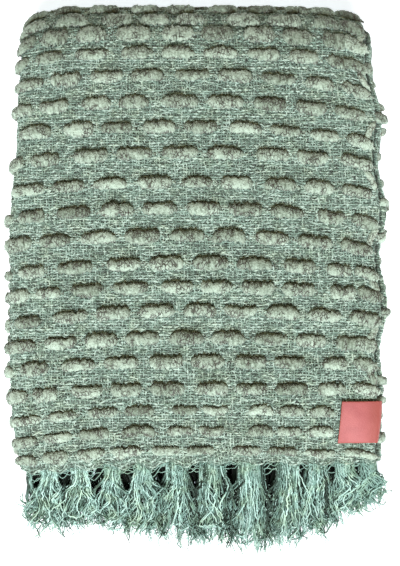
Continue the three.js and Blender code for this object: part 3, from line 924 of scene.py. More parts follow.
@dataclass
class ClothSheet:
    """The whole cloth as one thin closed sheet on its folds, under the ground yarns where these show, with
    painted shade there.
    """

    throw: FoldedThrow
    across_runs: tuple[int, ...] = (26, 16, 14, 14)
    across_turns: tuple[int, ...] = (14, 10, 8)
    along_runs: tuple[int, ...] = (36, 18, 14, 14)
    along_turns: tuple[int, ...] = (34, 14, 12)
    under_yarn: float = 0.3
    woven_to: Pair = (326.0, 450.0)
    woven_shade: float = 0.75
    border: float = 8.0
    fold_border: float = 2.0

    def woven(self, u: Array, v: Array) -> Array:
        """One under the ground yarns of the showing face and right fold, eased to nought past their ends.

        Args:
            u: Distances across the cloth.
            v: Distances along it.

        Returns:
            Numbers from nought to one.
        """
        edge_u, edge_v = self.woven_to
        low, high = self.throw.right_fold()
        face = fades(u, edge_u, edge_u + self.border)
        fold = smooth(u, low, low + self.fold_border) * fades(u, high - self.fold_border, high)
        return (face + fold) * fades(v, edge_v, edge_v + self.border)

    def build(self, finish: FoldedCloth) -> Piece:
        """Two grids of the cloth's form, one on each face, joined round the four edges.

        Args:
            finish: The cloth's finish.

        Returns:
            The sheet, with its flat form as UV map.
        """
        u = self.throw.across.stations(self.across_runs, self.across_turns)
        v = self.throw.along.stations(self.along_runs, self.along_turns)
        uu, vv = np.meshgrid(u, v, indexing="ij")
        woven = self.woven(uu, vv)
        half = self.throw.half_cloth
        outer = self.throw.point(uu, vv, half + (self.under_yarn - half) * woven)
        inner = self.throw.point(uu, vv, np.full_like(uu, -half))
        ids = np.arange(uu.size).reshape(uu.shape)
        face = np.stack([ids[:-1, :-1], ids[:-1, 1:], ids[1:, 1:], ids[1:, :-1]], axis=-1).reshape(-1, 4)
        rim = np.concatenate([ids[:-1, 0], ids[-1, :-1], ids[:0:-1, -1], ids[0, :0:-1]])
        ahead = np.roll(rim, -1)
        sides = np.stack([rim, ahead, ahead + uu.size, rim + uu.size], axis=-1)
        quads = np.concatenate([face, face[:, ::-1] + uu.size, sides])
        # Painted shade: the outer face is darkened where it lies under the ground yarns.
        depth_and_shade = np.stack([1.0 - self.woven_shade * woven, np.ones_like(woven)])
        parts = MeshParts()
        parts.add(np.stack([outer, inner]), quads, NO_TRIANGLES, {"depth_and_shade": depth_and_shade})
        sheet = parts.to_object("blanket_cloth", finish.material(), Slot.CHENILLE)
        layer = sheet.data.uv_layers.new(name="cloth")
        corners = np.zeros(len(sheet.data.loops), np.int32)
        sheet.data.loops.foreach_get("vertex_index", corners)
        flat = np.stack([uu.ravel(), vv.ravel()], axis=-1) * MM
        layer.data.foreach_set("uv", np.tile(flat, (2, 1))[corners].astype(np.float32).ravel())
        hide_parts("blanket")
        return sheet

    def flat_size(self) -> Pair:
        """Width and length of the cloth before folding, in metres."""
        return float(self.throw.across.starts()[-1]) * MM, float(self.throw.along.starts()[-1]) * MM


@dataclass
class GroundWeave:
    """Plain weave of loose slubby yarn on the showing face: one ring of each tube at each crossing."""

    throw: FoldedThrow
    warp_pitch: float = 2.5
    weft_pitch: float = 2.25
    first: float = 0.4
    across: float = 331.0
    along: float = 452.0
    middle: float = 0.75
    wave: float = 0.4
    warp_half: float = 0.9
    weft_half: float = 1.02
    half_height: float = 0.6
    sides: int = 3
    crook: Wander = Wander(0.62, (9.0, 23.0, 61.0))
    jog: float = 0.26
    slub: Wander = Wander(0.24, (7.0, 17.0, 40.0))
    thickness: Pair = (0.6, 1.7)
    thickness_spread: float = 0.13
    lump: float = 0.15
    lift_spread: float = 0.2
    warp_tint: float = 0.36
    weft_tint: float = 0.45
    tint_spread: float = 0.22
    crossing_shade_tint: float = 0.1
    dye: Wander = Wander(0.1, (13.0, 31.0, 90.0))
    thread_tint: float = 0.06
    shade: float = 0.6
    end_shade: float = 0.15
    shaded_end_rows: Pair = (340.0, 385.0)
    fuzz_count: int = 16000
    fuzz_inset: Pair = (8.0, 4.0)
    fuzz_turn: float = 0.7
    fuzz_length: Pair = (0.84, 2.1)
    fuzz_half: Pair = (0.204, 0.408)
    fuzz_lift: Pair = (1.1, 1.9)
    fuzz_arch: tuple[float, ...] = (-0.45, 0.12, 0.12, -0.3)
    fuzz_tip: float = 0.3
    fuzz_tint: Pair = (0.52, 0.2)
    seed: int = 11

    def build(self, thread: Thread, material: Material) -> Piece:
        """All threads of one set, each a tube that rises and dips by turns as it crosses the other set.

        Args:
            thread: Which set.
            material: The yarn's finish.

        Returns:
            The joined threads.
        """
        is_warp = thread is Thread.WARP
        rng = np.random.default_rng(self.seed + is_warp)
        parts = MeshParts()
        for start, end in ((0.0, self.across), self.throw.right_fold()):
            warps = start + (np.arange(int((end - start) / self.warp_pitch)) + self.first) * self.warp_pitch
            wefts = (np.arange(int(self.along / self.weft_pitch)) + self.first) * self.weft_pitch
            own, other = (warps, wefts) if is_warp else (wefts, warps)
            parts.add_tubes(*self.threads(own, other, is_warp, rng))
        return parts.to_object(f"ground_{thread.value}", material, Slot.CHENILLE)

    def threads(self, own: Array, other: Array, is_warp: bool, rng: Rng) -> tuple[Array, dict]:
        """Rings and tints of the threads of one set over one band.

        Args:
            own: Places of the threads.
            other: Places of the threads that they cross.
            is_warp: Whether they run along the cloth.
            rng: Seeded random source.

        Returns:
            Points of shape (threads, crossings, sides, 3), and the tint at each crossing.
        """
        n = own.size
        parity = (np.arange(n)[:, None] + np.arange(other.size)[None, :]) % 2
        over = np.where(parity == is_warp, 1.0, -1.0)
        place = own[:, None] + self.crook.along(rng, n, other) + self.jog * rng.normal(size=over.shape)
        thick = 1.0 + rng.normal(0.0, self.thickness_spread, (n, 1)) + self.slub.along(rng, n, other)
        thick = np.clip(thick, *self.thickness) * (1.0 + self.lump * rng.normal(size=over.shape))
        lift = self.middle + self.wave * over + self.lift_spread * rng.normal(size=over.shape)
        angle = TURN * np.arange(self.sides) / self.sides + TURN / 4.0
        side = np.cos(angle) * (self.warp_half if is_warp else -self.weft_half)
        shift = place[..., None] + thick[..., None] * side
        height = lift[..., None] + self.half_height * thick[..., None] * np.sin(angle)
        along = np.broadcast_to(other[None, :, None], shift.shape)
        u, v = (shift, along) if is_warp else (along, shift)
        # Painted light and shade: each thread is paler where it rides over and darker where it dips under.
        tint = self.tint_spread * rng.normal(size=over.shape) + self.crossing_shade_tint * over
        tint = tint + self.dye.along(rng, n, other) + self.thread_tint * rng.normal(size=(n, 1))
        tint = tint + (self.warp_tint if is_warp else self.weft_tint)
        # Painted shade: the right fold's threads darken where they go under the showing selvage.
        tint = tint - self.shade * smooth(u.mean(axis=-1), *self.throw.under_selvage())
        # Painted shade on the threads of the end fold, which faces away from the key light.
        tint = tint - self.end_shade * smooth(v.mean(axis=-1), *self.shaded_end_rows)
        return self.throw.point(u, v, height), {"tint": tint[..., None]}

    def fuzz(self, material: Material) -> Piece:
        """Loose fibres on the weave: slivers at random places, most of them along the weft.

        Args:
            material: The yarn's finish.

        Returns:
            The joined fibres.
        """
        rng = np.random.default_rng(self.seed + len(Thread))
        n = self.fuzz_count
        inset_u, inset_v = self.fuzz_inset
        u = rng.uniform(0.0, self.across - inset_u, n)[:, None]
        v = rng.uniform(0.0, self.along - inset_v, n)[:, None]
        heading = rng.normal(0.0, self.fuzz_turn, (n, 1))
        reach = rng.uniform(*self.fuzz_length, (n, 1))
        lift = rng.uniform(*self.fuzz_lift, (n, 1))
        half = rng.uniform(*self.fuzz_half, (n, 1))
        du, dv = turned(heading, SLIVER_ALONG * reach, SLIVER_ASIDE * half)
        height = lift + np.array(self.fuzz_arch) + SLIVER_TIP * rng.normal(0.0, self.fuzz_tip, (n, 1))
        points = self.throw.point(u + du, v + dv, height)
        parts = MeshParts()
        parts.add_slivers(points, {"tint": rng.normal(*self.fuzz_tint, (n, 1))})
        return parts.to_object("ground_fibres", material, Slot.CHENILLE, soft=False)


@dataclass
class Puffs:
    """Plump floats of chenille yarn on the showing face, on the folds that show, and at the selvage."""

    throw: FoldedThrow
    half_length: float = 14.9
    half_width: float = 5.3
    half_height: float = 3.4
    crown: float = 3.4
    neck: float = 1.0
    neck_height: float = 0.35
    pitch: float = 37.0
    length_range: Pair = (0.72, 1.06)
    row_share: float = 0.46
    last_gap: float = 40.0
    hem_slim: float = 0.2
    slim_below: float = 60.0
    last_x: float = 146.0
    hook: float = 0.22
    hooked_x: Pair = (128.0, 150.0)
    label_reach: tuple[float, float, float] = (40.0, 15.0, 59.0)
    label_beside: float = 12.0
    label_slim: float = 0.82
    label_shift: float = 1.2
    fold_row_pitch: float = 22.5
    fold_row_inset: Pair = (14.0, 8.0)
    left_stray: float = 6.0
    left_size: Pair = (0.7, 0.9)
    right_rows: tuple[float, ...] = (22.0, 54.0, 72.0, 130.0, 194.0, 224.0, 298.0, 345.0)
    right_length: Pair = (0.6, 0.9)
    right_width: Pair = (0.65, 0.95)
    front_rows: tuple[Pair, ...] = ((791.0, 16.0), (811.0, 34.0))
    front_to: float = 310.0
    front_size: Pair = (0.95, 0.85)
    selvage_from: int = 3
    selvage_u: float = 4.2
    selvage_leans: Pair = (1.2, 1.9)
    selvage_span: float = 44.0
    selvage_width: float = 0.62
    size_spread: float = 0.1
    size_range: Pair = (0.78, 1.18)
    bluntness: Pair = (3.0, 6.5)
    tail: float = 1.25
    tail_from: float = 1.04
    body_to: float = 0.995
    ring_crowding: float = 0.9
    face_boxy: float = 0.72
    fold_boxy: float = 1.0
    underside: float = 0.75
    low_when_narrow: float = 0.35
    low_when_short: float = 0.4
    bend: float = 1.1
    bend_level: float = 0.4
    face_grid: tuple[int, int] = (31, 12)
    fold_grid: tuple[int, int] = (13, 11)
    creases: int = 6
    crease_span: float = 0.9
    crease_depth: float = 0.26
    crease_depths: Pair = (0.2, 1.3)
    crease_width: float = 0.065
    lumps: tuple = (("a", 0.06, 2.0, 2.0), ("b", 0.05, 3.0, 5.0))
    crumbs: int = 4
    crumb: float = 0.05
    crumb_rates: Pair = (12.0, 26.0)
    crumb_turns: tuple[int, int] = (1, 6)
    roughness: float = 0.065
    crack: float = 0.19
    crack_range: Pair = (0.8, 2.8)
    crack_lean: float = 0.5
    # Painted shade on the side of each puff that faces away from the key light.
    far_side_shade: float = 0.2
    far_side_span: Pair = (-0.3, 0.8)
    root_level: Pair = (-0.8, 0.5)
    tip_level: Pair = (0.1, 0.4)
    tone: Pair = (0.69, 0.08)
    end_shade_tone: float = -0.1
    shaded_end_rows: Pair = (345.0, 385.0)
    relief_shade_tone: float = 0.9
    grain_tone: float = 0.08
    tufts: int = 44
    tuft_length: Pair = (0.44, 1.1)
    tuft_half: float = 0.42
    tuft_span: float = 0.96
    tuft_over: float = 0.2
    tuft_lift: tuple[float, ...] = (-0.2, 0.28, 0.28, 0.1)
    tuft_tip: float = 0.5
    tuft_tone: float = 0.14
    beads: int = 7
    bead_radius: Pair = (0.6, 1.25)
    bead_reach: Pair = (0.98, 1.3)
    bead_stray: float = 1.5
    bead_level: Pair = (0.95, 1.5)
    bead_tone: Pair = (0.2, 0.2)
    bead_from: float = 2.0
    seed: int = 5

    def face_puffs(self) -> Array:
        """The rows of the showing face, shortened where they crowd, and slimmer next to the label.

        Returns:
            Middles, tilts and size factors (u, v, tilt, length, width), of shape (puffs, 5).
        """
        hems = np.array([row.from_hem for row in PUFF_ROWS])
        gaps = np.diff(hems, prepend=hems[0] - self.last_gap, append=hems[-1] + self.last_gap)
        found = []
        for row, gap in zip(PUFF_ROWS, np.minimum(gaps[:-1], gaps[1:])):
            x = np.minimum(np.array(row.places, float), self.last_x)
            tilt = np.arctan(2.0 * row.drop(x) * x) + self.hook * smooth(x, *self.hooked_x)
            space = np.diff(x, prepend=x[0] - self.pitch, append=x[-1] + self.pitch)
            length = np.clip(np.minimum(space[:-1], space[1:]) / self.pitch, *self.length_range)
            plump = 1.0 - self.hem_slim * (row.from_hem < self.slim_below) + row.plump
            width = plump * min(1.0, self.row_share * gap / self.half_width)
            found.append(table(self.throw.selvage_x - x, row.v_at(x), tilt, length, width))
        puffs = np.concatenate(found)
        flap, low, high = self.label_reach
        hidden = (puffs[:, 0] < flap) & (puffs[:, 1] > low) & (puffs[:, 1] < high)
        below = (puffs[:, 0] < flap + self.label_beside) & (puffs[:, 1] <= low)
        puffs[below, 4] *= self.label_slim
        puffs[below, 1] -= self.label_shift
        return puffs[~hidden]

    def fold_puffs(self, rng: Rng) -> Array:
        """Short puffs on the side folds of the lower strips, and rows on the front fold below the hem.

        Args:
            rng: Seeded random source.

        Returns:
            Middles, tilts and size factors, of shape (puffs, 5).
        """
        across, along = self.throw.across.starts(), self.throw.along.starts()
        left, right = (across[1] + across[2]) / 2.0, (across[3] + across[4]) / 2.0
        first, last = self.fold_row_inset
        rows = np.arange(along[2] + first, along[-1] - last, self.fold_row_pitch)
        rows = rows[(rows < along[3]) | ((rows > along[4]) & (rows < along[5])) | (rows > along[6])]
        stray = rng.uniform(-self.left_stray, self.left_stray, rows.size)
        lefts = table(left + stray, rows, 0.0, *self.left_size)
        all_rows = np.concatenate([self.right_rows, rows])
        length = rng.uniform(*self.right_length, all_rows.size)
        width = rng.uniform(*self.right_width, all_rows.size)
        rights = table(right, all_rows, 0.0, length, width)
        fronts = [table(np.arange(start, self.front_to, self.pitch), row, 0.0, *self.front_size)
                  for row, start in self.front_rows]
        return np.concatenate([lefts, rights, *fronts])

    def selvage_puffs(self) -> Array:
        """Turns of the chenille yarn from one row to the next along the showing selvage.

        Returns:
            Middles, tilts and size factors, of shape (puffs, 5).
        """
        hems = np.array([row.from_hem - row.right_drop for row in PUFF_ROWS], float)
        low, high = hems[self.selvage_from:-1:2], hems[self.selvage_from + 1::2]
        lean = np.array(self.selvage_leans)[np.arange(low.size) % 2]
        length = (high - low) / self.selvage_span
        return table(self.selvage_u, (low + high) / 2.0, lean, length, self.selvage_width)

    def body(self, puffs: Array, shape: dict[str, Array], t: Array, turn: Array, grow: Array,
             rough: Array) -> Array:
        """Points on the puffs: a rounded section carried along each puff, swelling from thin tails to a bean.

        The section is a superellipse. Its radius follows the square root of 1 - |t|^n, blunt at both ends,
        notched by narrow creases and made uneven by slow waves and small crumbs round it. Its middle rises
        over the cloth as it swells.

        Args:
            puffs: Middles, tilts and size factors, of shape (puffs, 5).
            shape: Each puff's random phases, bends and creases.
            t: Places along the puff, from -1 to 1 over its body, of shape (puffs, places, around).
            turn: Angles round the section.
            grow: Distance out from the surface.
            rough: Random share by which the surface stands out or in at each point.

        Returns:
            Points in metres.
        """
        u, v, tilt, length, width = (puffs[:, k, None, None] for k in range(5))
        own = {name: value[..., None, None] for name, value in shape.items()}
        spots, depths = (shape[name][:, None, None, :] for name in ("creases", "depths"))
        plump = np.sqrt(np.clip(1.0 - np.abs(t) ** own["blunt"], 0.0, 1.0))
        notch = np.sum(depths * np.exp(-((t[..., None] - spots) / self.crease_width) ** 2), axis=-1)
        uneven = 1.0 + rough
        for phase, size, around_rate, along_rate in self.lumps:
            uneven = uneven + size * np.sin(around_rate * turn + along_rate * t + own[phase])
        for along_rate, around_rate, phase in zip(own["fast"], own["round"], own["phase"]):
            uneven = uneven + self.crumb * np.sin(along_rate * t + around_rate * turn + phase)
        swell = plump * (1.0 - self.crease_depth * notch) * uneven * own["size"]
        high = np.minimum(1.0, self.low_when_narrow + (1.0 - self.low_when_narrow) * width)
        high = high * np.minimum(1.0, self.low_when_short + (1.0 - self.low_when_short) * length)
        out_w = self.neck + (self.half_width * width - self.neck) * swell + grow
        out_h = self.neck + (self.half_height * high - self.neck) * swell + grow
        middle = self.neck_height + (self.crown * high - self.neck_height) * plump
        up, aside = (np.sign(wave) * np.abs(wave) ** own["boxy"] for wave in (np.sin(turn), np.cos(turn)))
        height = middle + out_h * np.where(up < 0.0, self.underside * up, up)
        bent = own["bend"] * (t * t - self.bend_level)
        du, dv = turned(tilt, self.half_length * length * t, bent - out_w * aside)
        return self.throw.point(u + du, v + dv, height)

    def pile_depth_and_shade(self, turn: Array) -> Array:
        """How far out in the pile a point is, with painted shade: less underneath, and less on the side away
        from the key light.

        Args:
            turn: Angles round the section.

        Returns:
            Nought at the roots, one at the tips.
        """
        # Painted shade: the side away from the key light takes more of the dark root colour.
        far = share(-np.cos(turn), *self.far_side_span)
        root, tip = (level + rise * far for level, rise in (self.root_level, self.tip_level))
        return share(np.sin(turn), root, tip) * (1.0 - self.far_side_shade * far)

    def shapes(self, count: int, boxy: float, rng: Rng) -> dict[str, Array]:
        """Random phases, sizes, bends and creases that make each puff its own shape.

        Args:
            count: Number of puffs.
            boxy: The superellipse's power, one for a round section and less for a boxy one.
            rng: Seeded random source.

        Returns:
            Named arrays, one value or row for each puff.
        """
        crumbs = (self.crumbs, count)
        return {
            "boxy": np.array(boxy),
            "creases": rng.uniform(-self.crease_span, self.crease_span, (count, self.creases)),
            "depths": rng.uniform(*self.crease_depths, (count, self.creases)),
            "a": rng.uniform(0.0, TURN, count),
            "b": rng.uniform(0.0, TURN, count),
            "size": np.clip(rng.normal(1.0, self.size_spread, count), *self.size_range),
            "bend": rng.normal(0.0, self.bend, count),
            "blunt": rng.uniform(*self.bluntness, count),
            "fast": rng.uniform(*self.crumb_rates, crumbs) * rng.choice((-1.0, 1.0), crumbs),
            "round": rng.integers(*self.crumb_turns, crumbs).astype(float),
            "phase": rng.uniform(0.0, TURN, crumbs),
        }

    def build_bodies(self, name: str, puffs: Array, shape: dict[str, Array], grid: tuple[int, int],
                     tone: Array, rng: Rng, material: Material) -> Piece:
        """Makes a set of puffs as closed tubes.

        Args:
            name: The piece's name.
            puffs: Middles, tilts and size factors.
            shape: Their random shapes.
            grid: Rings along each puff's body and sides of its section.
            tone: Each puff's tint.
            rng: Seeded random source.
            material: The pile's finish.

        Returns:
            The joined puffs.
        """
        rings, sides = grid
        crowded = self.ring_crowding * math.pi
        inner = np.sin(np.linspace(-0.5, 0.5, rings) * crowded) / math.sin(0.5 * crowded) * self.body_to
        t = np.concatenate([[-self.tail, -self.tail_from], inner, [self.tail_from, self.tail]])[None, :, None]
        turn = (TURN * np.arange(sides) / sides)[None, None, :]
        t, turn = np.broadcast_arrays(np.repeat(t, len(puffs), axis=0), turn)
        by_ring = (*t.shape[:2], 1)
        start, most = self.crack_range
        crack = np.clip(rng.normal(size=by_ring) - start, 0.0, most - start)
        crack = crack * np.clip(self.crack_lean + np.cos(turn - rng.uniform(0.0, TURN, by_ring)), 0.0, 1.0)
        rough = self.roughness * rng.normal(size=t.shape) - self.crack * crack
        points = self.body(puffs, shape, t, turn, np.zeros_like(t), rough)
        # Painted shade and light: dents and cracks of the surface are darker, bumps paler.
        tints = tone + self.relief_shade_tone * rough + self.grain_tone * rng.normal(size=t.shape)
        parts = MeshParts()
        parts.add_tubes(points, {"tint": tints, "depth_and_shade": self.pile_depth_and_shade(turn)})
        return parts.to_object(name, material, Slot.CHENILLE)

    def build_tufts(self, puffs: Array, shape: dict[str, Array], tone: Array, rng: Rng,
                    material: Material) -> Piece:
        """Makes loose tufts of the pile: slivers that lie every way on the puffs.

        Args:
            puffs: Middles, tilts and size factors.
            shape: Their random shapes.
            tone: Each puff's tint.
            rng: Seeded random source.
            material: The pile's finish.

        Returns:
            The joined tufts.
        """
        size = (len(puffs), self.tufts, 1)
        root_t = rng.uniform(-self.tuft_span, self.tuft_span, size)
        root_turn = rng.uniform(-self.tuft_over, math.pi + self.tuft_over, size)
        heading = rng.uniform(0.0, TURN, size)
        along = SLIVER_ALONG * rng.uniform(*self.tuft_length, size)
        ahead, around = turned(heading, along, SLIVER_ASIDE * self.tuft_half)
        t, turn = root_t + ahead / self.half_length, root_turn - around / self.half_width
        out = np.array(self.tuft_lift) + SLIVER_TIP * self.tuft_tip * rng.random(size)
        points = self.body(puffs, shape, t, turn, out, np.zeros_like(t))
        tints = tone + self.tuft_tone * rng.normal(size=size)
        parts = MeshParts()
        parts.add_slivers(points, {"tint": tints, "depth_and_shade": self.pile_depth_and_shade(turn)})
        return parts.to_object("chenille_pile", material, Slot.CHENILLE, soft=False)

    def build_beads(self, puffs: Array, tone: Array, rng: Rng, material: Material) -> Piece:
        """Makes the bits of pile that peep out past both ends of the puffs: small octahedra.

        Args:
            puffs: Middles, tilts and size factors.
            tone: Each puff's tint.
            rng: Seeded random source.
            material: The pile's finish.

        Returns:
            The joined beads.
        """
        size = (len(puffs), self.beads, 1)
        u, v, tilt, length = (puffs[:, k, None, None] for k in range(4))
        side = rng.choice((-1.0, 1.0), size)
        along = side * self.half_length * length * rng.uniform(*self.bead_reach, size)
        du, dv = turned(tilt, along, rng.normal(0.0, self.bead_stray, size))
        radius = rng.uniform(*self.bead_radius, size)
        star = np.array([[1, 0, 0], [0, 1, 0], [-1, 0, 0], [0, -1, 0], [0, 0, 1], [0, 0, -1]], float)
        across, aside, height = (radius * star[:, k] for k in range(3))
        level = rng.uniform(*self.bead_level, size)
        points = self.throw.point(u + du + across, v + dv - aside, level + height)
        tints = tone + rng.normal(*self.bead_tone, size)
        on_cloth = ((u + du > self.bead_from) & (u + du < self.throw.across.starts()[2]))[..., 0]
        points, tints = points[on_cloth], tints[on_cloth]
        ids = np.arange(len(points) * len(star)).reshape(-1, len(star))
        ring = np.arange(4)
        ahead = np.roll(ring, -1)
        corners = np.concatenate([table(ring, ahead, 4), table(ahead, ring, 5)])
        parts = MeshParts()
        parts.add(points, NO_QUADS, ids[:, corners], {"tint": tints, "depth_and_shade": np.ones(tints.shape)})
        return parts.to_object("chenille_beads", material, Slot.CHENILLE)

    def build(self, finish: ChenillePile) -> list[Piece]:
        """Makes the puffs of the showing face with their loose pile, and those of the folds and the selvage.

        Args:
            finish: The pile's finish.

        Returns:
            The pieces.
        """
        rng = np.random.default_rng(self.seed)
        material = finish.material()
        face = self.face_puffs()
        folds = np.concatenate([self.fold_puffs(rng), self.selvage_puffs()])
        pieces = []
        for name, puffs, grid, boxy in (("chenille_puffs", face, self.face_grid, self.face_boxy),
                                        ("chenille_fold_puffs", folds, self.fold_grid, self.fold_boxy)):
            shape = self.shapes(len(puffs), boxy, rng)
            tone = rng.normal(*self.tone, (len(puffs), 1, 1))
            from_hem = puffs[:, 1, None, None]
            on_top = from_hem < self.throw.along.starts()[2]
            # Painted shade on the puffs of the end fold, which faces away from the key light.
            tone = tone + self.end_shade_tone * smooth(from_hem, *self.shaded_end_rows) * on_top
            pieces.append(self.build_bodies(name, puffs, shape, grid, tone, rng, material))
            if puffs is face:
                pieces.append(self.build_tufts(puffs, shape, tone, rng, material))
                pieces.append(self.build_beads(puffs, tone, rng, material))
        return pieces


@dataclass(frozen=True)
class FringeRun:
    """Loose warp ends of one run of the folded strip: its leg, its level over the surface, and how many."""

    leg: int
    level: int
    strands: int
    length: float
    pinch: float
    root_shade_tint: float
    hairy: bool = False


@dataclass(frozen=True)
class FringeReach:
    """How far the fringe reaches past the hem, across the throw."""

    x: tuple[float, ...] = (-165.0, -140.0, -80.0, -20.0, 60.0, 90.0, 125.0, 165.0)
    reach: tuple[float, ...] = (55.0, 67.0, 65.0, 74.0, 84.0, 78.0, 58.0, 36.0)

    def at(self, x: Array) -> Array:
        """Reach at places across the throw, straight between the known ones."""
        return np.interp(x, self.x, self.reach)


@dataclass
class Fringe:
    """Untied fringe: crimped warp ends that gather into plump tassels, fall to the surface and lie on it."""

    throw: FoldedThrow
    piece: str
    node: str
    hem_v: float
    way: float
    runs: tuple[FringeRun, ...]
    steps: int
    seed: int
    loose_wefts: tuple[float, ...] = ()
    root_swell: float = 1.0
    reach: FringeReach = FringeReach()
    hem_y: float = -200.0
    root_past: Pair = (-2.5, 2.0)
    root_lift: float = 0.3
    fall_share: float = 0.78
    level_height: float = 2.2
    lying_spread: float = 2.4
    lean: float = 0.07
    sides: int = 3
    radius: float = 0.53
    radius_spread: float = 0.16
    thinning: float = 0.55
    thins_over: Pair = (0.8, 1.0)
    swell_ends: Pair = (0.4, 0.8)
    lay: tuple[float, float, float] = (0.0, -0.6, 0.8)
    mound: float = 13.0
    mound_half: float = 19.0
    mound_rate: float = 1.1
    pinched_over: Pair = (0.06, 0.5)
    bulge: float = 0.3
    bulge_from: float = 0.25
    tuft_size: int = 9
    tuft_length: Pair = (0.96, 0.09)
    tuft_range: Pair = (0.74, 1.1)
    own_length: Pair = (0.9, 1.03)
    tuft_flare: float = 3.6
    own_flare: float = 1.3
    loose_over: Pair = (0.3, 1.0)
    drawn: float = 0.75
    drawn_over: Pair = (0.45, 1.0)
    hook_share: float = 0.34
    hook_length: float = 0.86
    hook_turn: Pair = (1.15, 1.6)
    hook_swing: float = 5.5
    tassel_sway: Wander = Wander(2.6, (31.0, 47.0, 70.0))
    tuft_sway: Wander = Wander(2.8, (34.0, 52.0, 76.0))
    shared_over: Pair = (0.0, 0.4)
    own_sway: Wander = Wander(1.5, (18.0, 29.0, 47.0))
    own_over: Pair = (0.15, 1.0)
    crimp: Wander = Wander(0.5, (4.8, 6.2, 9.0))
    shuffle: Wander = Wander(0.5, (5.2, 8.0, 21.0))
    tuft_dive: Wander = Wander(1.8, (19.0, 31.0, 53.0))
    own_dive: Wander = Wander(0.7, (11.0, 17.0, 29.0))
    dive_over: Pair = (0.02, 0.25)
    ripple: Wander = Wander(0.4, (4.9, 7.0))
    bold_each: int = 4
    bold_size: float = 0.4
    bold_tint: float = 0.2
    bold_share: float = 0.3
    bold_sway: Wander = Wander(3.4, (38.0, 60.0, 90.0))
    bold_lift: float = 1.6
    lit_tint: float = 0.5
    lit_over: Pair = (0.1, 0.75)
    tuft_tint: float = 0.09
    own_tint: float = 0.17
    fleck: Wander = Wander(0.14, (3.0, 5.0, 9.0))
    between: float = 0.28
    shaded_valley: Pair = (6.0, 15.0)
    pale_ends: Pair = (140.0, 154.0)
    pale_tint: float = 0.45
    pale_share: float = 0.85
    hairs: int = 1
    hair_steps: int = 6
    hair_from_tip: int = 8
    hair_radius: float = 0.24
    hair_length: Pair = (4.0, 10.0)
    hair_stray: tuple[float, float, float] = (0.6, 0.45, 0.2)
    hair_waver: float = 0.45
    hair_tint: float = 0.6
    wisps: int = 4
    wisp_length: Pair = (0.9, 2.25)
    wisp_half: float = 0.34
    wisp_stray: tuple[float, float, float] = (0.3, 0.2, 0.1)
    wisp_spread: tuple[float, float, float] = (1.2, 1.2, 0.5)
    wisp_lift: float = 0.7
    wisp_arch: tuple[float, ...] = (-0.4, 0.2, 0.2, -0.2)
    wisp_tint: Pair = (0.5, 0.25)
    weft_steps: int = 190
    weft_span: Pair = (3.0, 6.0)
    weft_sway: Wander = Wander(2.0, (15.0, 27.0, 52.0))
    weft_jog: Wander = Wander(0.5, (6.0, 9.0))
    weft_weave: Wander = Wander(1.4, (5.5, 8.0, 13.0))
    weft_lift: float = 0.5
    weft_size: Pair = (0.8, 0.15)
    weft_tint: float = 0.45

    def fallen(self, x: Array, y: Array) -> Array:
        """Share of the way from the hem's height down to the surface, eased over most of the reach."""
        return smooth(self.hem_y - y, 0.0, self.fall_share * self.reach.at(x))

    def bold(self, strands: int) -> Array:
        """One for each strand that is thicker, paler and looser than the rest, nought for the others."""
        return (np.arange(strands)[:, None] % self.bold_each == 0).astype(float)

    def paths(self, run: FringeRun, rng: Rng) -> Array:
        """Middle lines of one run's strands.

        Each strand leaves the hem, is pinched towards its tassel and swells out again, while it sinks on an
        eased curve to the level where it lies. Some tips hook back. Slow waves and small crimps are added.

        Args:
            run: The run.
            rng: Seeded random source.

        Returns:
            Points in millimetres, of shape (strands, steps, 3).
        """
        starts = self.throw.across.starts()
        n = run.strands
        u = starts[run.leg] + (starts[run.leg + 1] - starts[run.leg]) * (np.arange(n) + rng.random(n)) / n
        root, out = (self.throw.point(u, self.hem_v + self.way * past, self.root_lift) / MM
                     for past in self.root_past)
        out_x, out_y, out_z = (out[:, k, None] for k in range(3))
        s = np.linspace(0.0, 1.0, self.steps - 1)[None, :]
        tassels = np.array(self.throw.tassels.x)
        nearest = np.argmin(np.abs(out_x - tassels), axis=1)
        beside = out_x - tassels[nearest][:, None]
        tuft = np.arange(n) // self.tuft_size
        tufts = int(tuft[-1]) + 1
        tuft_x = (np.bincount(tuft, out[:, 0]) / np.bincount(tuft))[tuft][:, None]
        hooked = rng.random((n, 1)) < self.hook_share
        length = np.clip(rng.normal(*self.tuft_length, tufts), *self.tuft_range)[tuft][:, None]
        length = length * rng.uniform(*self.own_length, (n, 1)) * np.where(hooked, self.hook_length, 1.0)
        reach = self.reach.at(out_x) * run.length * length
        pinch = run.pinch * np.array(self.throw.tassels.pinch)[nearest][:, None]
        pinched = pinch * (1.0 - smooth(s, *self.pinched_over))
        pinched = pinched - self.bulge * np.sin(math.pi * share(s, self.bulge_from, 1.0))
        flare = rng.normal(0.0, self.tuft_flare, tufts)[tuft][:, None]
        flare = flare + rng.normal(0.0, self.own_flare, (n, 1))
        drawn = self.drawn * (out_x - tuft_x) * smooth(s, *self.drawn_over)
        travel = reach.mean() * s[0]
        shared = self.tassel_sway.along(rng, tassels.size, travel)[nearest]
        shared = shared + self.tuft_sway.along(rng, tufts, travel)[tuft]
        own = self.own_sway.along(rng, n, travel) + self.bold(n) * self.bold_sway.along(rng, n, travel)
        sway = shared * smooth(s, *self.shared_over) + own * smooth(s, *self.own_over)
        crimp = self.crimp.along(rng, n, travel)
        progress = np.where(hooked, np.sin(rng.uniform(*self.hook_turn, (n, 1)) * s * math.pi / 2), s)
        loose = (flare + rng.normal(0.0, self.hook_swing, (n, 1)) * hooked) * smooth(s, *self.loose_over)
        x = out_x + self.lean * out_x * s - pinched * beside - drawn + loose + sway + crimp
        y = out_y + (self.hem_y - reach - out_y) * progress + self.shuffle.along(rng, n, travel)
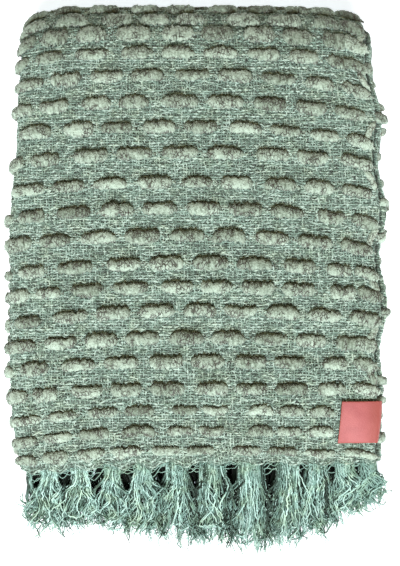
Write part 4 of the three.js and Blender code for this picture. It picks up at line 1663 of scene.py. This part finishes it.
        lying = self.level_height * run.level + self.radius + rng.uniform(0.0, self.lying_spread, (n, 1))
        hump = self.mound * np.clip(1.0 - (beside / self.mound_half) ** 2, 0.0, 1.0) * rng.random((n, 1))
        hump = hump * run.pinch * np.sin(math.pi * np.minimum(s * self.mound_rate, 1.0))
        dive = self.tuft_dive.along(rng, tufts, travel)[tuft] + self.own_dive.along(rng, n, travel)
        dive = (dive + self.bold_lift * self.bold(n)) * smooth(s, *self.dive_over)
        z = out_z + (lying - out_z) * self.fallen(x, y) + hump + dive + self.ripple.along(rng, n, travel)
        root[:, :1] -= pinch * beside
        strand = np.stack([x, y, np.maximum(z, self.radius)], axis=-1)
        return np.concatenate([root[:, None, :], strand], axis=1)

    def weft_paths(self, rng: Rng) -> Array:
        """Middle lines of loosened weft threads that pass over and under the strands' roots along the hem.

        Args:
            rng: Seeded random source.

        Returns:
            Points in millimetres, of shape (threads, steps, 3).
        """
        start, past = self.weft_span
        u = np.linspace(start, self.throw.across.starts()[1] + past, self.weft_steps)
        gone = np.array(self.loose_wefts)[:, None]
        v = self.weft_sway.along(rng, gone.size, u) + self.weft_jog.along(rng, gone.size, u) - gone
        lift = self.weft_lift + self.weft_weave.along(rng, gone.size, u)
        points = self.throw.point(u[None, :], v, lift) / MM
        level = self.level_height * self.runs[0].level
        points[..., 2] += (level - points[..., 2]) * self.fallen(points[..., 0], points[..., 1])
        return points

    def offshoots(self, paths: Array, spots: tuple[int, int], count: int, stray: tuple[float, float, float],
                  rng: Rng) -> tuple[Array, Array]:
        """Random places on the strands, and headings that stray from the strands' own.

        Args:
            paths: The strands' middle lines.
            spots: First step that is used, and the one past the last.
            count: Number of places on each strand.
            stray: How far a heading strays along each axis.
            rng: Seeded random source.

        Returns:
            Places and headings, of shape (strands, count, 3).
        """
        strand = np.arange(len(paths))[:, None]
        spot = rng.integers(*spots, (len(paths), count))
        start = paths[strand, spot]
        ahead = unit(paths[strand, spot + 1] - start)
        return start, ahead + rng.normal(0.0, 1.0, ahead.shape) * np.array(stray)

    def hair_paths(self, paths: Array, rng: Rng) -> Array:
        """Middle lines of fine hairs: from places near the strands' tips, onward and aside, wavering.

        Args:
            paths: The strands' middle lines.
            rng: Seeded random source.

        Returns:
            Points in millimetres, of shape (hairs, steps, 3).
        """
        spots = (self.steps - self.hair_from_tip, self.steps - 1)
        start, ahead = self.offshoots(paths, spots, self.hairs, self.hair_stray, rng)
        length = rng.uniform(*self.hair_length, (len(paths), self.hairs, 1))
        part = np.linspace(0.0, 1.0, self.hair_steps)[None, None, :, None]
        points = start[:, :, None, :] + (ahead * length)[:, :, None, :] * part
        points = points + self.hair_waver * rng.normal(size=points.shape) * part
        points[..., 2] = np.maximum(points[..., 2], self.hair_radius)
        return points.reshape(-1, self.hair_steps, 3)

    def wisp_points(self, paths: Array, rng: Rng) -> Array:
        """Corners of loose wisps: slivers that lie about their strand's way, all along the strands.

        Args:
            paths: The strands' middle lines.
            rng: Seeded random source.

        Returns:
            Points in metres, of shape (wisps, 4, 3).
        """
        start, ahead = self.offshoots(paths, (1, self.steps - 2), self.wisps, self.wisp_stray, rng)
        up = np.array([0.0, 0.0, 1.0])
        middle = start + rng.normal(0.0, 1.0, start.shape) * np.array(self.wisp_spread) + self.wisp_lift * up
        aside = np.stack([-ahead[..., 1], ahead[..., 0], np.zeros_like(ahead[..., 0])], axis=-1)
        along = SLIVER_ALONG[:, None] * rng.uniform(*self.wisp_length, (*start.shape[:2], 1, 1))
        across = SLIVER_ASIDE[:, None] * self.wisp_half
        points = middle[:, :, None, :] + ahead[:, :, None, :] * along + aside[:, :, None, :] * across
        points = points + np.array(self.wisp_arch)[:, None] * up
        points[..., 2] = np.maximum(points[..., 2], self.hair_radius)
        return points.reshape(-1, 4, 3) * MM

    def tubes(self, paths: Array, radius: Array) -> Array:
        """Rings about middle lines: a small circle in two directions square to the path at each step.

        Args:
            paths: Middle lines in millimetres, of shape (lines, steps, 3).
            radius: Radii, of shape (lines, steps).

        Returns:
            Points in metres, of shape (lines, steps, sides, 3), none of them under the surface.
        """
        tangent = unit(np.gradient(paths, axis=1))
        side = unit(np.cross(tangent, np.array(self.lay)))
        upward = np.cross(tangent, side)
        angle = TURN * np.arange(self.sides) / self.sides
        ring = np.cos(angle)[:, None] * side[..., None, :] + np.sin(angle)[:, None] * upward[..., None, :]
        points = paths[..., None, :] + radius[..., None, None] * ring
        points[..., 2] = np.maximum(points[..., 2], 0.0)
        return points * MM

    def tints(self, run: FringeRun, paths: Array, rng: Rng) -> Array:
        """Tints along one run's strands: painted shade at the roots and between tassels, an even pale tint at
        the hem's two ends.

        Args:
            run: The run.
            paths: Its strands' middle lines.
            rng: Seeded random source.

        Returns:
            Tints, of shape (strands, steps, 1).
        """
        n = run.strands
        part = np.linspace(0.0, 1.0, self.steps)[None, :, None]
        apart = np.abs(paths[..., :1] - np.array(self.throw.tassels.x)).min(axis=-1)[..., None]
        tuft = rng.normal(size=n // self.tuft_size + 1)[np.arange(n) // self.tuft_size]
        own = self.tuft_tint * tuft + self.own_tint * rng.normal(size=n)
        own = own + self.bold_tint * (self.bold(n)[:, 0] - self.bold_share)
        # Painted shade: each strand's tint rises from its dark root tint to the lit tint.
        tint = run.root_shade_tint + (self.lit_tint - run.root_shade_tint) * smooth(part, *self.lit_over)
        tint = tint + own[:, None, None] + self.fleck.along(rng, n, np.arange(self.steps))[..., None]
        # Painted shade on the strands that lie in the valleys between tassels.
        tint = tint - self.between * smooth(apart, *self.shaded_valley)
        ended = self.pale_share * smooth(np.abs(paths[..., :1]), *self.pale_ends)
        return tint + (self.pale_tint - tint) * ended

    def build(self, material: Material) -> Piece:
        """All the strands of one end of the cloth, thinning to their tips.

        Args:
            material: The yarn's finish.

        Returns:
            The joined strands, hairs, wisps and loosened wefts.
        """
        rng = np.random.default_rng(self.seed)
        parts = MeshParts()
        part = np.linspace(0.0, 1.0, self.steps)[None, :]
        taper = 1.0 - self.thinning * smooth(part, *self.thins_over)
        taper = taper * (1.0 + (self.root_swell - 1.0) * fades(part, *self.swell_ends))
        for run in self.runs:
            paths = self.paths(run, rng)
            radius = self.radius * taper * rng.normal(1.0, self.radius_spread, (run.strands, 1))
            radius = radius * (1.0 + self.bold_size * self.bold(run.strands))
            parts.add_tubes(self.tubes(paths, radius), {"tint": self.tints(run, paths, rng)})
            if run.hairy:
                hairs = self.hair_paths(paths, rng)
                fine = np.full(hairs.shape[:2], self.hair_radius)
                parts.add_tubes(self.tubes(hairs, fine), {"tint": np.array(self.hair_tint)})
                wisps = self.wisp_points(paths, rng)
                parts.add_slivers(wisps, {"tint": rng.normal(*self.wisp_tint, (len(wisps), 1))})
        if self.loose_wefts:
            wefts = self.weft_paths(rng)
            size, spread = self.weft_size
            radius = size * self.radius * rng.normal(1.0, spread, wefts.shape[:2])
            parts.add_tubes(self.tubes(wefts, radius), {"tint": np.array(self.weft_tint)})
        made = parts.to_object(self.piece, material, Slot.YARN)
        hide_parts(self.node)
        return made


@dataclass
class Label:
    """Leather label: a strip folded over the showing selvage, its front flap arched off the cloth."""

    throw: FoldedThrow
    from_hem: float = 18.5
    to_hem: float = 54.5
    front_flap: float = 32.0
    flap_lean: float = 3.5
    loop_lean: float = 3.0
    back_flap: float = 13.0
    half_thickness: float = 0.55
    front_stand_off: float = 5.2
    back_stand_off: float = 2.6
    arch: float = 1.8
    loop_reach: float = 4.5
    straight_to: float = 55.0
    edge: float = 0.6
    edge_thickness: float = 0.35
    edge_steps: tuple[float, ...] = (0.0, 0.12, 0.35, 0.6)
    side_margin: float = 1.6
    flap_margin: float = 1.0
    steps_along: int = 28
    front_steps: int = 26
    loop_steps: int = 18
    back_steps: int = 10
    elsewhere: float = 9.0
    cut_wear: float = 0.7
    bend_shade: float = 0.55
    bend_reach: float = 8.0

    def rounded(self, distance: Array) -> Array:
        """Thickness share at a distance from a cut edge: a quarter circle."""
        part = share(distance, 0.0, self.edge)
        return self.edge_thickness + (1.0 - self.edge_thickness) * np.sqrt(1.0 - (1.0 - part) ** 2)

    def build(self, finish: DyedLeather) -> Piece:
        """The label's section, out along one face and back along the other, carried along the selvage.

        Args:
            finish: The leather.

        Returns:
            The label.
        """
        ends = np.array(self.edge_steps)
        low, high = self.from_hem + self.side_margin, self.to_hem - self.side_margin
        inner = np.linspace(low, high, self.steps_along)
        v = np.concatenate([self.from_hem + ends, inner, self.to_hem - ends[::-1]])[:, None]
        part = share(v, self.from_hem, self.to_hem)
        stand_off = self.front_stand_off + self.arch * np.sin(math.pi * part)
        front = self.front_flap * (1.0 - np.linspace(0.0, 1.0, self.front_steps))
        front = front[front < self.front_flap - self.flap_margin]
        front = np.concatenate([self.front_flap - ends, front])[None, :]
        angle = np.linspace(0.0, math.pi, self.loop_steps + 1)[None, 1:-1]
        back = np.linspace(0.0, self.back_flap - self.flap_margin, self.back_steps)
        back = np.concatenate([back, self.back_flap - ends[::-1]])[None, :]
        middle, rise = (stand_off - self.back_stand_off) / 2.0, (stand_off + self.back_stand_off) / 2.0
        ones = np.ones_like(v)
        flat = np.concatenate([front * ones, -self.loop_reach * np.sin(angle) * ones, back * ones], axis=1)
        lean = np.concatenate([self.flap_lean * (0.5 - part) * front / self.front_flap,
                               self.loop_lean * (1.0 - part) ** 2 * np.sin(angle), 0.0 * ones * back], axis=1)
        u = flat + lean
        o = np.concatenate([stand_off * np.ones_like(front), middle + rise * np.cos(angle),
                            -self.back_stand_off * ones * np.ones_like(back)], axis=1)
        du, do = np.gradient(u, axis=1), np.gradient(o, axis=1)
        size = np.hypot(du, do)
        nu, no = do / size, -du / size
        from_cut = np.minimum(v - self.from_hem, self.to_hem - v)
        column = np.arange(u.shape[1])
        from_front = np.abs(self.front_flap - flat) + (column > front.size) * self.elsewhere
        from_back = np.abs(self.back_flap - flat) + (column < front.size + angle.size) * self.elsewhere
        from_free = np.minimum(from_front, from_back)
        half = self.half_thickness * self.rounded(from_cut) * self.rounded(from_free)
        skins = [self.skin(u + way * nu * half, v, o + way * no * half) for way in (1.0, -1.0)]
        rings = np.concatenate([skins[0], skins[1][:, ::-1]], axis=1)
        steps, around = rings.shape[:2]
        walls = wall_quads(np.arange(steps * around).reshape(steps, around)).reshape(-1, 4)
        k = np.arange(around // 2 - 1)
        cap = np.stack([k, around - 1 - k, around - 2 - k, k + 1], axis=-1)
        quads = np.concatenate([walls, cap, cap[:, ::-1] + (steps - 1) * around])
        cut = np.exp(-np.minimum(from_cut, from_free) / self.cut_wear)
        # Painted shade: the leather is darkened where it bends round the selvage.
        bent = self.bend_shade * np.exp(-(np.maximum(u, 0.0) / self.bend_reach) ** 2)
        wear_and_shade = np.clip(np.maximum(cut, bent), 0.0, 1.0)
        parts = MeshParts()
        parts.add(rings, quads, NO_TRIANGLES, {"wear_and_shade": np.concatenate([wear_and_shade, wear_and_shade[:, ::-1]], axis=1)})
        made = parts.to_object("leather_label", finish.material(), Slot.LEATHER)
        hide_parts("label")
        return made

    def skin(self, u: Array, v: Array, offset: Array) -> Array:
        """Points of the stiff label: straight along the edge of the cloth, between two of the cloth's points.

        Args:
            u: Distances across the cloth.
            v: Distances along it.
            offset: Distances from the middle of its thickness.

        Returns:
            Points in metres.
        """
        low = self.throw.point(u, self.from_hem, offset)
        high = self.throw.point(u, self.straight_to, offset)
        return low + (high - low) * ((v - self.from_hem) / (self.straight_to - self.from_hem))[..., None]


@dataclass
class Studio:
    """Pale floor, soft light from the fringe's side, warm fill, and a camera almost straight above."""

    look_at: tuple[float, float, float] = (6.5, -44.8, 55.0)
    distance: float = 1050.0
    tilt_deg: float = 1.5
    lens: float = 77.5
    floor_half: float = 20000.0
    sweep_height: float = 3500.0
    key_power: float = 1215.0
    key_size: float = 3500.0
    key_distance: float = 9000.0
    key_elevation_deg: float = 51.0
    key_azimuth_deg: float = -4.0
    key_colour: tuple[float, float, float] = (0.98, 1.0, 1.0)
    fill_colour: str = "a5906d"
    fill_strength: float = 0.76

    def build(self, paper: PaleFloor) -> None:
        """Makes the floor, with a low sweep of the same paper far round it, the lights and the camera.

        Args:
            paper: The floor's finish.
        """
        half = self.floor_half * MM
        corners = [(x, y, z) for z in (0.0, self.sweep_height * MM)
                   for x, y in ((-half, -half), (half, -half), (half, half), (-half, half))]
        mesh = bpy.data.meshes.new("floor")
        mesh.from_pydata(corners, [], [(0, 1, 2, 3), (0, 4, 5, 1), (1, 5, 6, 2), (2, 6, 7, 3), (3, 7, 4, 0)])
        mesh.materials.append(paper.material())
        floor = bpy.data.objects.new("floor", mesh)
        bpy.context.scene.collection.objects.link(floor)
        floor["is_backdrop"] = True
        self.light()
        self.camera()

    def light(self) -> None:
        """A soft key light on the fringe's side, and an even warm fill from the whole sky."""
        elevation, azimuth = math.radians(self.key_elevation_deg), math.radians(self.key_azimuth_deg)
        key = bpy.data.lights.new("key", "AREA")
        key.energy = self.key_power
        key.size = self.key_size * MM
        key.color = self.key_colour
        holder = bpy.data.objects.new("key", key)
        reach = self.key_distance * MM
        holder.location = (reach * math.cos(elevation) * math.sin(azimuth),
                           -reach * math.cos(elevation) * math.cos(azimuth), reach * math.sin(elevation))
        holder.rotation_euler = (math.pi / 2 - elevation, 0.0, -azimuth)
        bpy.context.scene.collection.objects.link(holder)
        world = bpy.data.worlds.new("studio")
        world.use_nodes = True
        sky = world.node_tree.nodes["Background"]
        sky.inputs["Color"].default_value = linear(self.fill_colour)
        sky.inputs["Strength"].default_value = self.fill_strength
        bpy.context.scene.world = world
        bpy.context.scene.view_settings.view_transform = "Standard"

    def camera(self) -> None:
        """A camera over the throw, turned so that the hem is at the bottom of the picture."""
        tilt = math.radians(self.tilt_deg)
        data = bpy.data.cameras.new("camera")
        data.lens = self.lens
        holder = bpy.data.objects.new("camera", data)
        x, y, z = self.look_at
        back, up = self.distance * math.sin(tilt), self.distance * math.cos(tilt)
        holder.location = (x * MM, (y - back) * MM, (z + up) * MM)
        holder.rotation_euler = (tilt, 0.0, 0.0)
        bpy.context.scene.collection.objects.link(holder)
        bpy.context.scene.camera = holder


def write_sizes() -> None:
    """Turns the box of the CAD model and the box of the dressed model into JSON text, as plain lists; the
    text is not kept.
    """
    boxes = {"cad": CAD_BOX, "visual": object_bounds()}
    json.dumps({name: [list(corner) for corner in box] for name, box in boxes.items()})


def main() -> None:
    """Builds the throw piece by piece, then the studio round it."""
    logging.basicConfig(level=logging.INFO, format="%(message)s")
    throw = FoldedThrow()
    cloth = ClothSheet(throw)
    sheet = cloth.build(FoldedCloth())
    weave = GroundWeave(throw)
    ground = GroundYarn().material()
    pieces = [weave.build(thread, ground) for thread in Thread]
    pieces.append(weave.fuzz(ground))
    pieces += Puffs(throw).build(ChenillePile())
    # hidden: near-black painted shade for the fringe's roots and lower runs.
    ends = GroundYarn("loose_fringe_yarn", hidden="0c150e", deep="42564e", middle="7da097", pale="badcd6",
                      warm="fffaeb", gloss=0.1, sheen=0.04).material()
    upper_runs = (FringeRun(0, 8, 420, 1.0, 0.34, 0.42, True), FringeRun(6, 7, 220, 0.97, 0.34, 0.1, True),
                  FringeRun(4, 6, 190, 0.98, 0.34, -0.1), FringeRun(2, 5, 170, 0.95, 0.34, -0.2))
    under_runs = (FringeRun(2, 3, 170, 0.96, 0.1, -0.5), FringeRun(4, 2, 170, 0.94, 0.1, -0.5),
                  FringeRun(6, 1, 170, 0.97, 0.0, -0.5), FringeRun(0, 0, 170, 0.95, 0.0, -0.5, True))
    upper = Fringe(throw, "fringe_upper_strands", "fringe_upper", hem_v=0.0, way=-1.0, runs=upper_runs,
                   steps=25, seed=21, loose_wefts=(0.5, 1.8, 3.4, 5.4))
    far_hem = float(throw.along.starts()[-1])
    under = Fringe(throw, "fringe_under_strands", "fringe_under", hem_v=far_hem, way=1.0, runs=under_runs,
                   steps=14, seed=22, root_swell=2.2)
    pieces += [upper.build(ends), under.build(ends)]
    pieces.append(Label(throw).build(DyedLeather()))
    cloth.flat_size()
    Studio().build(PaleFloor())
    write_sizes()


if __name__ == "__main__":
    main()
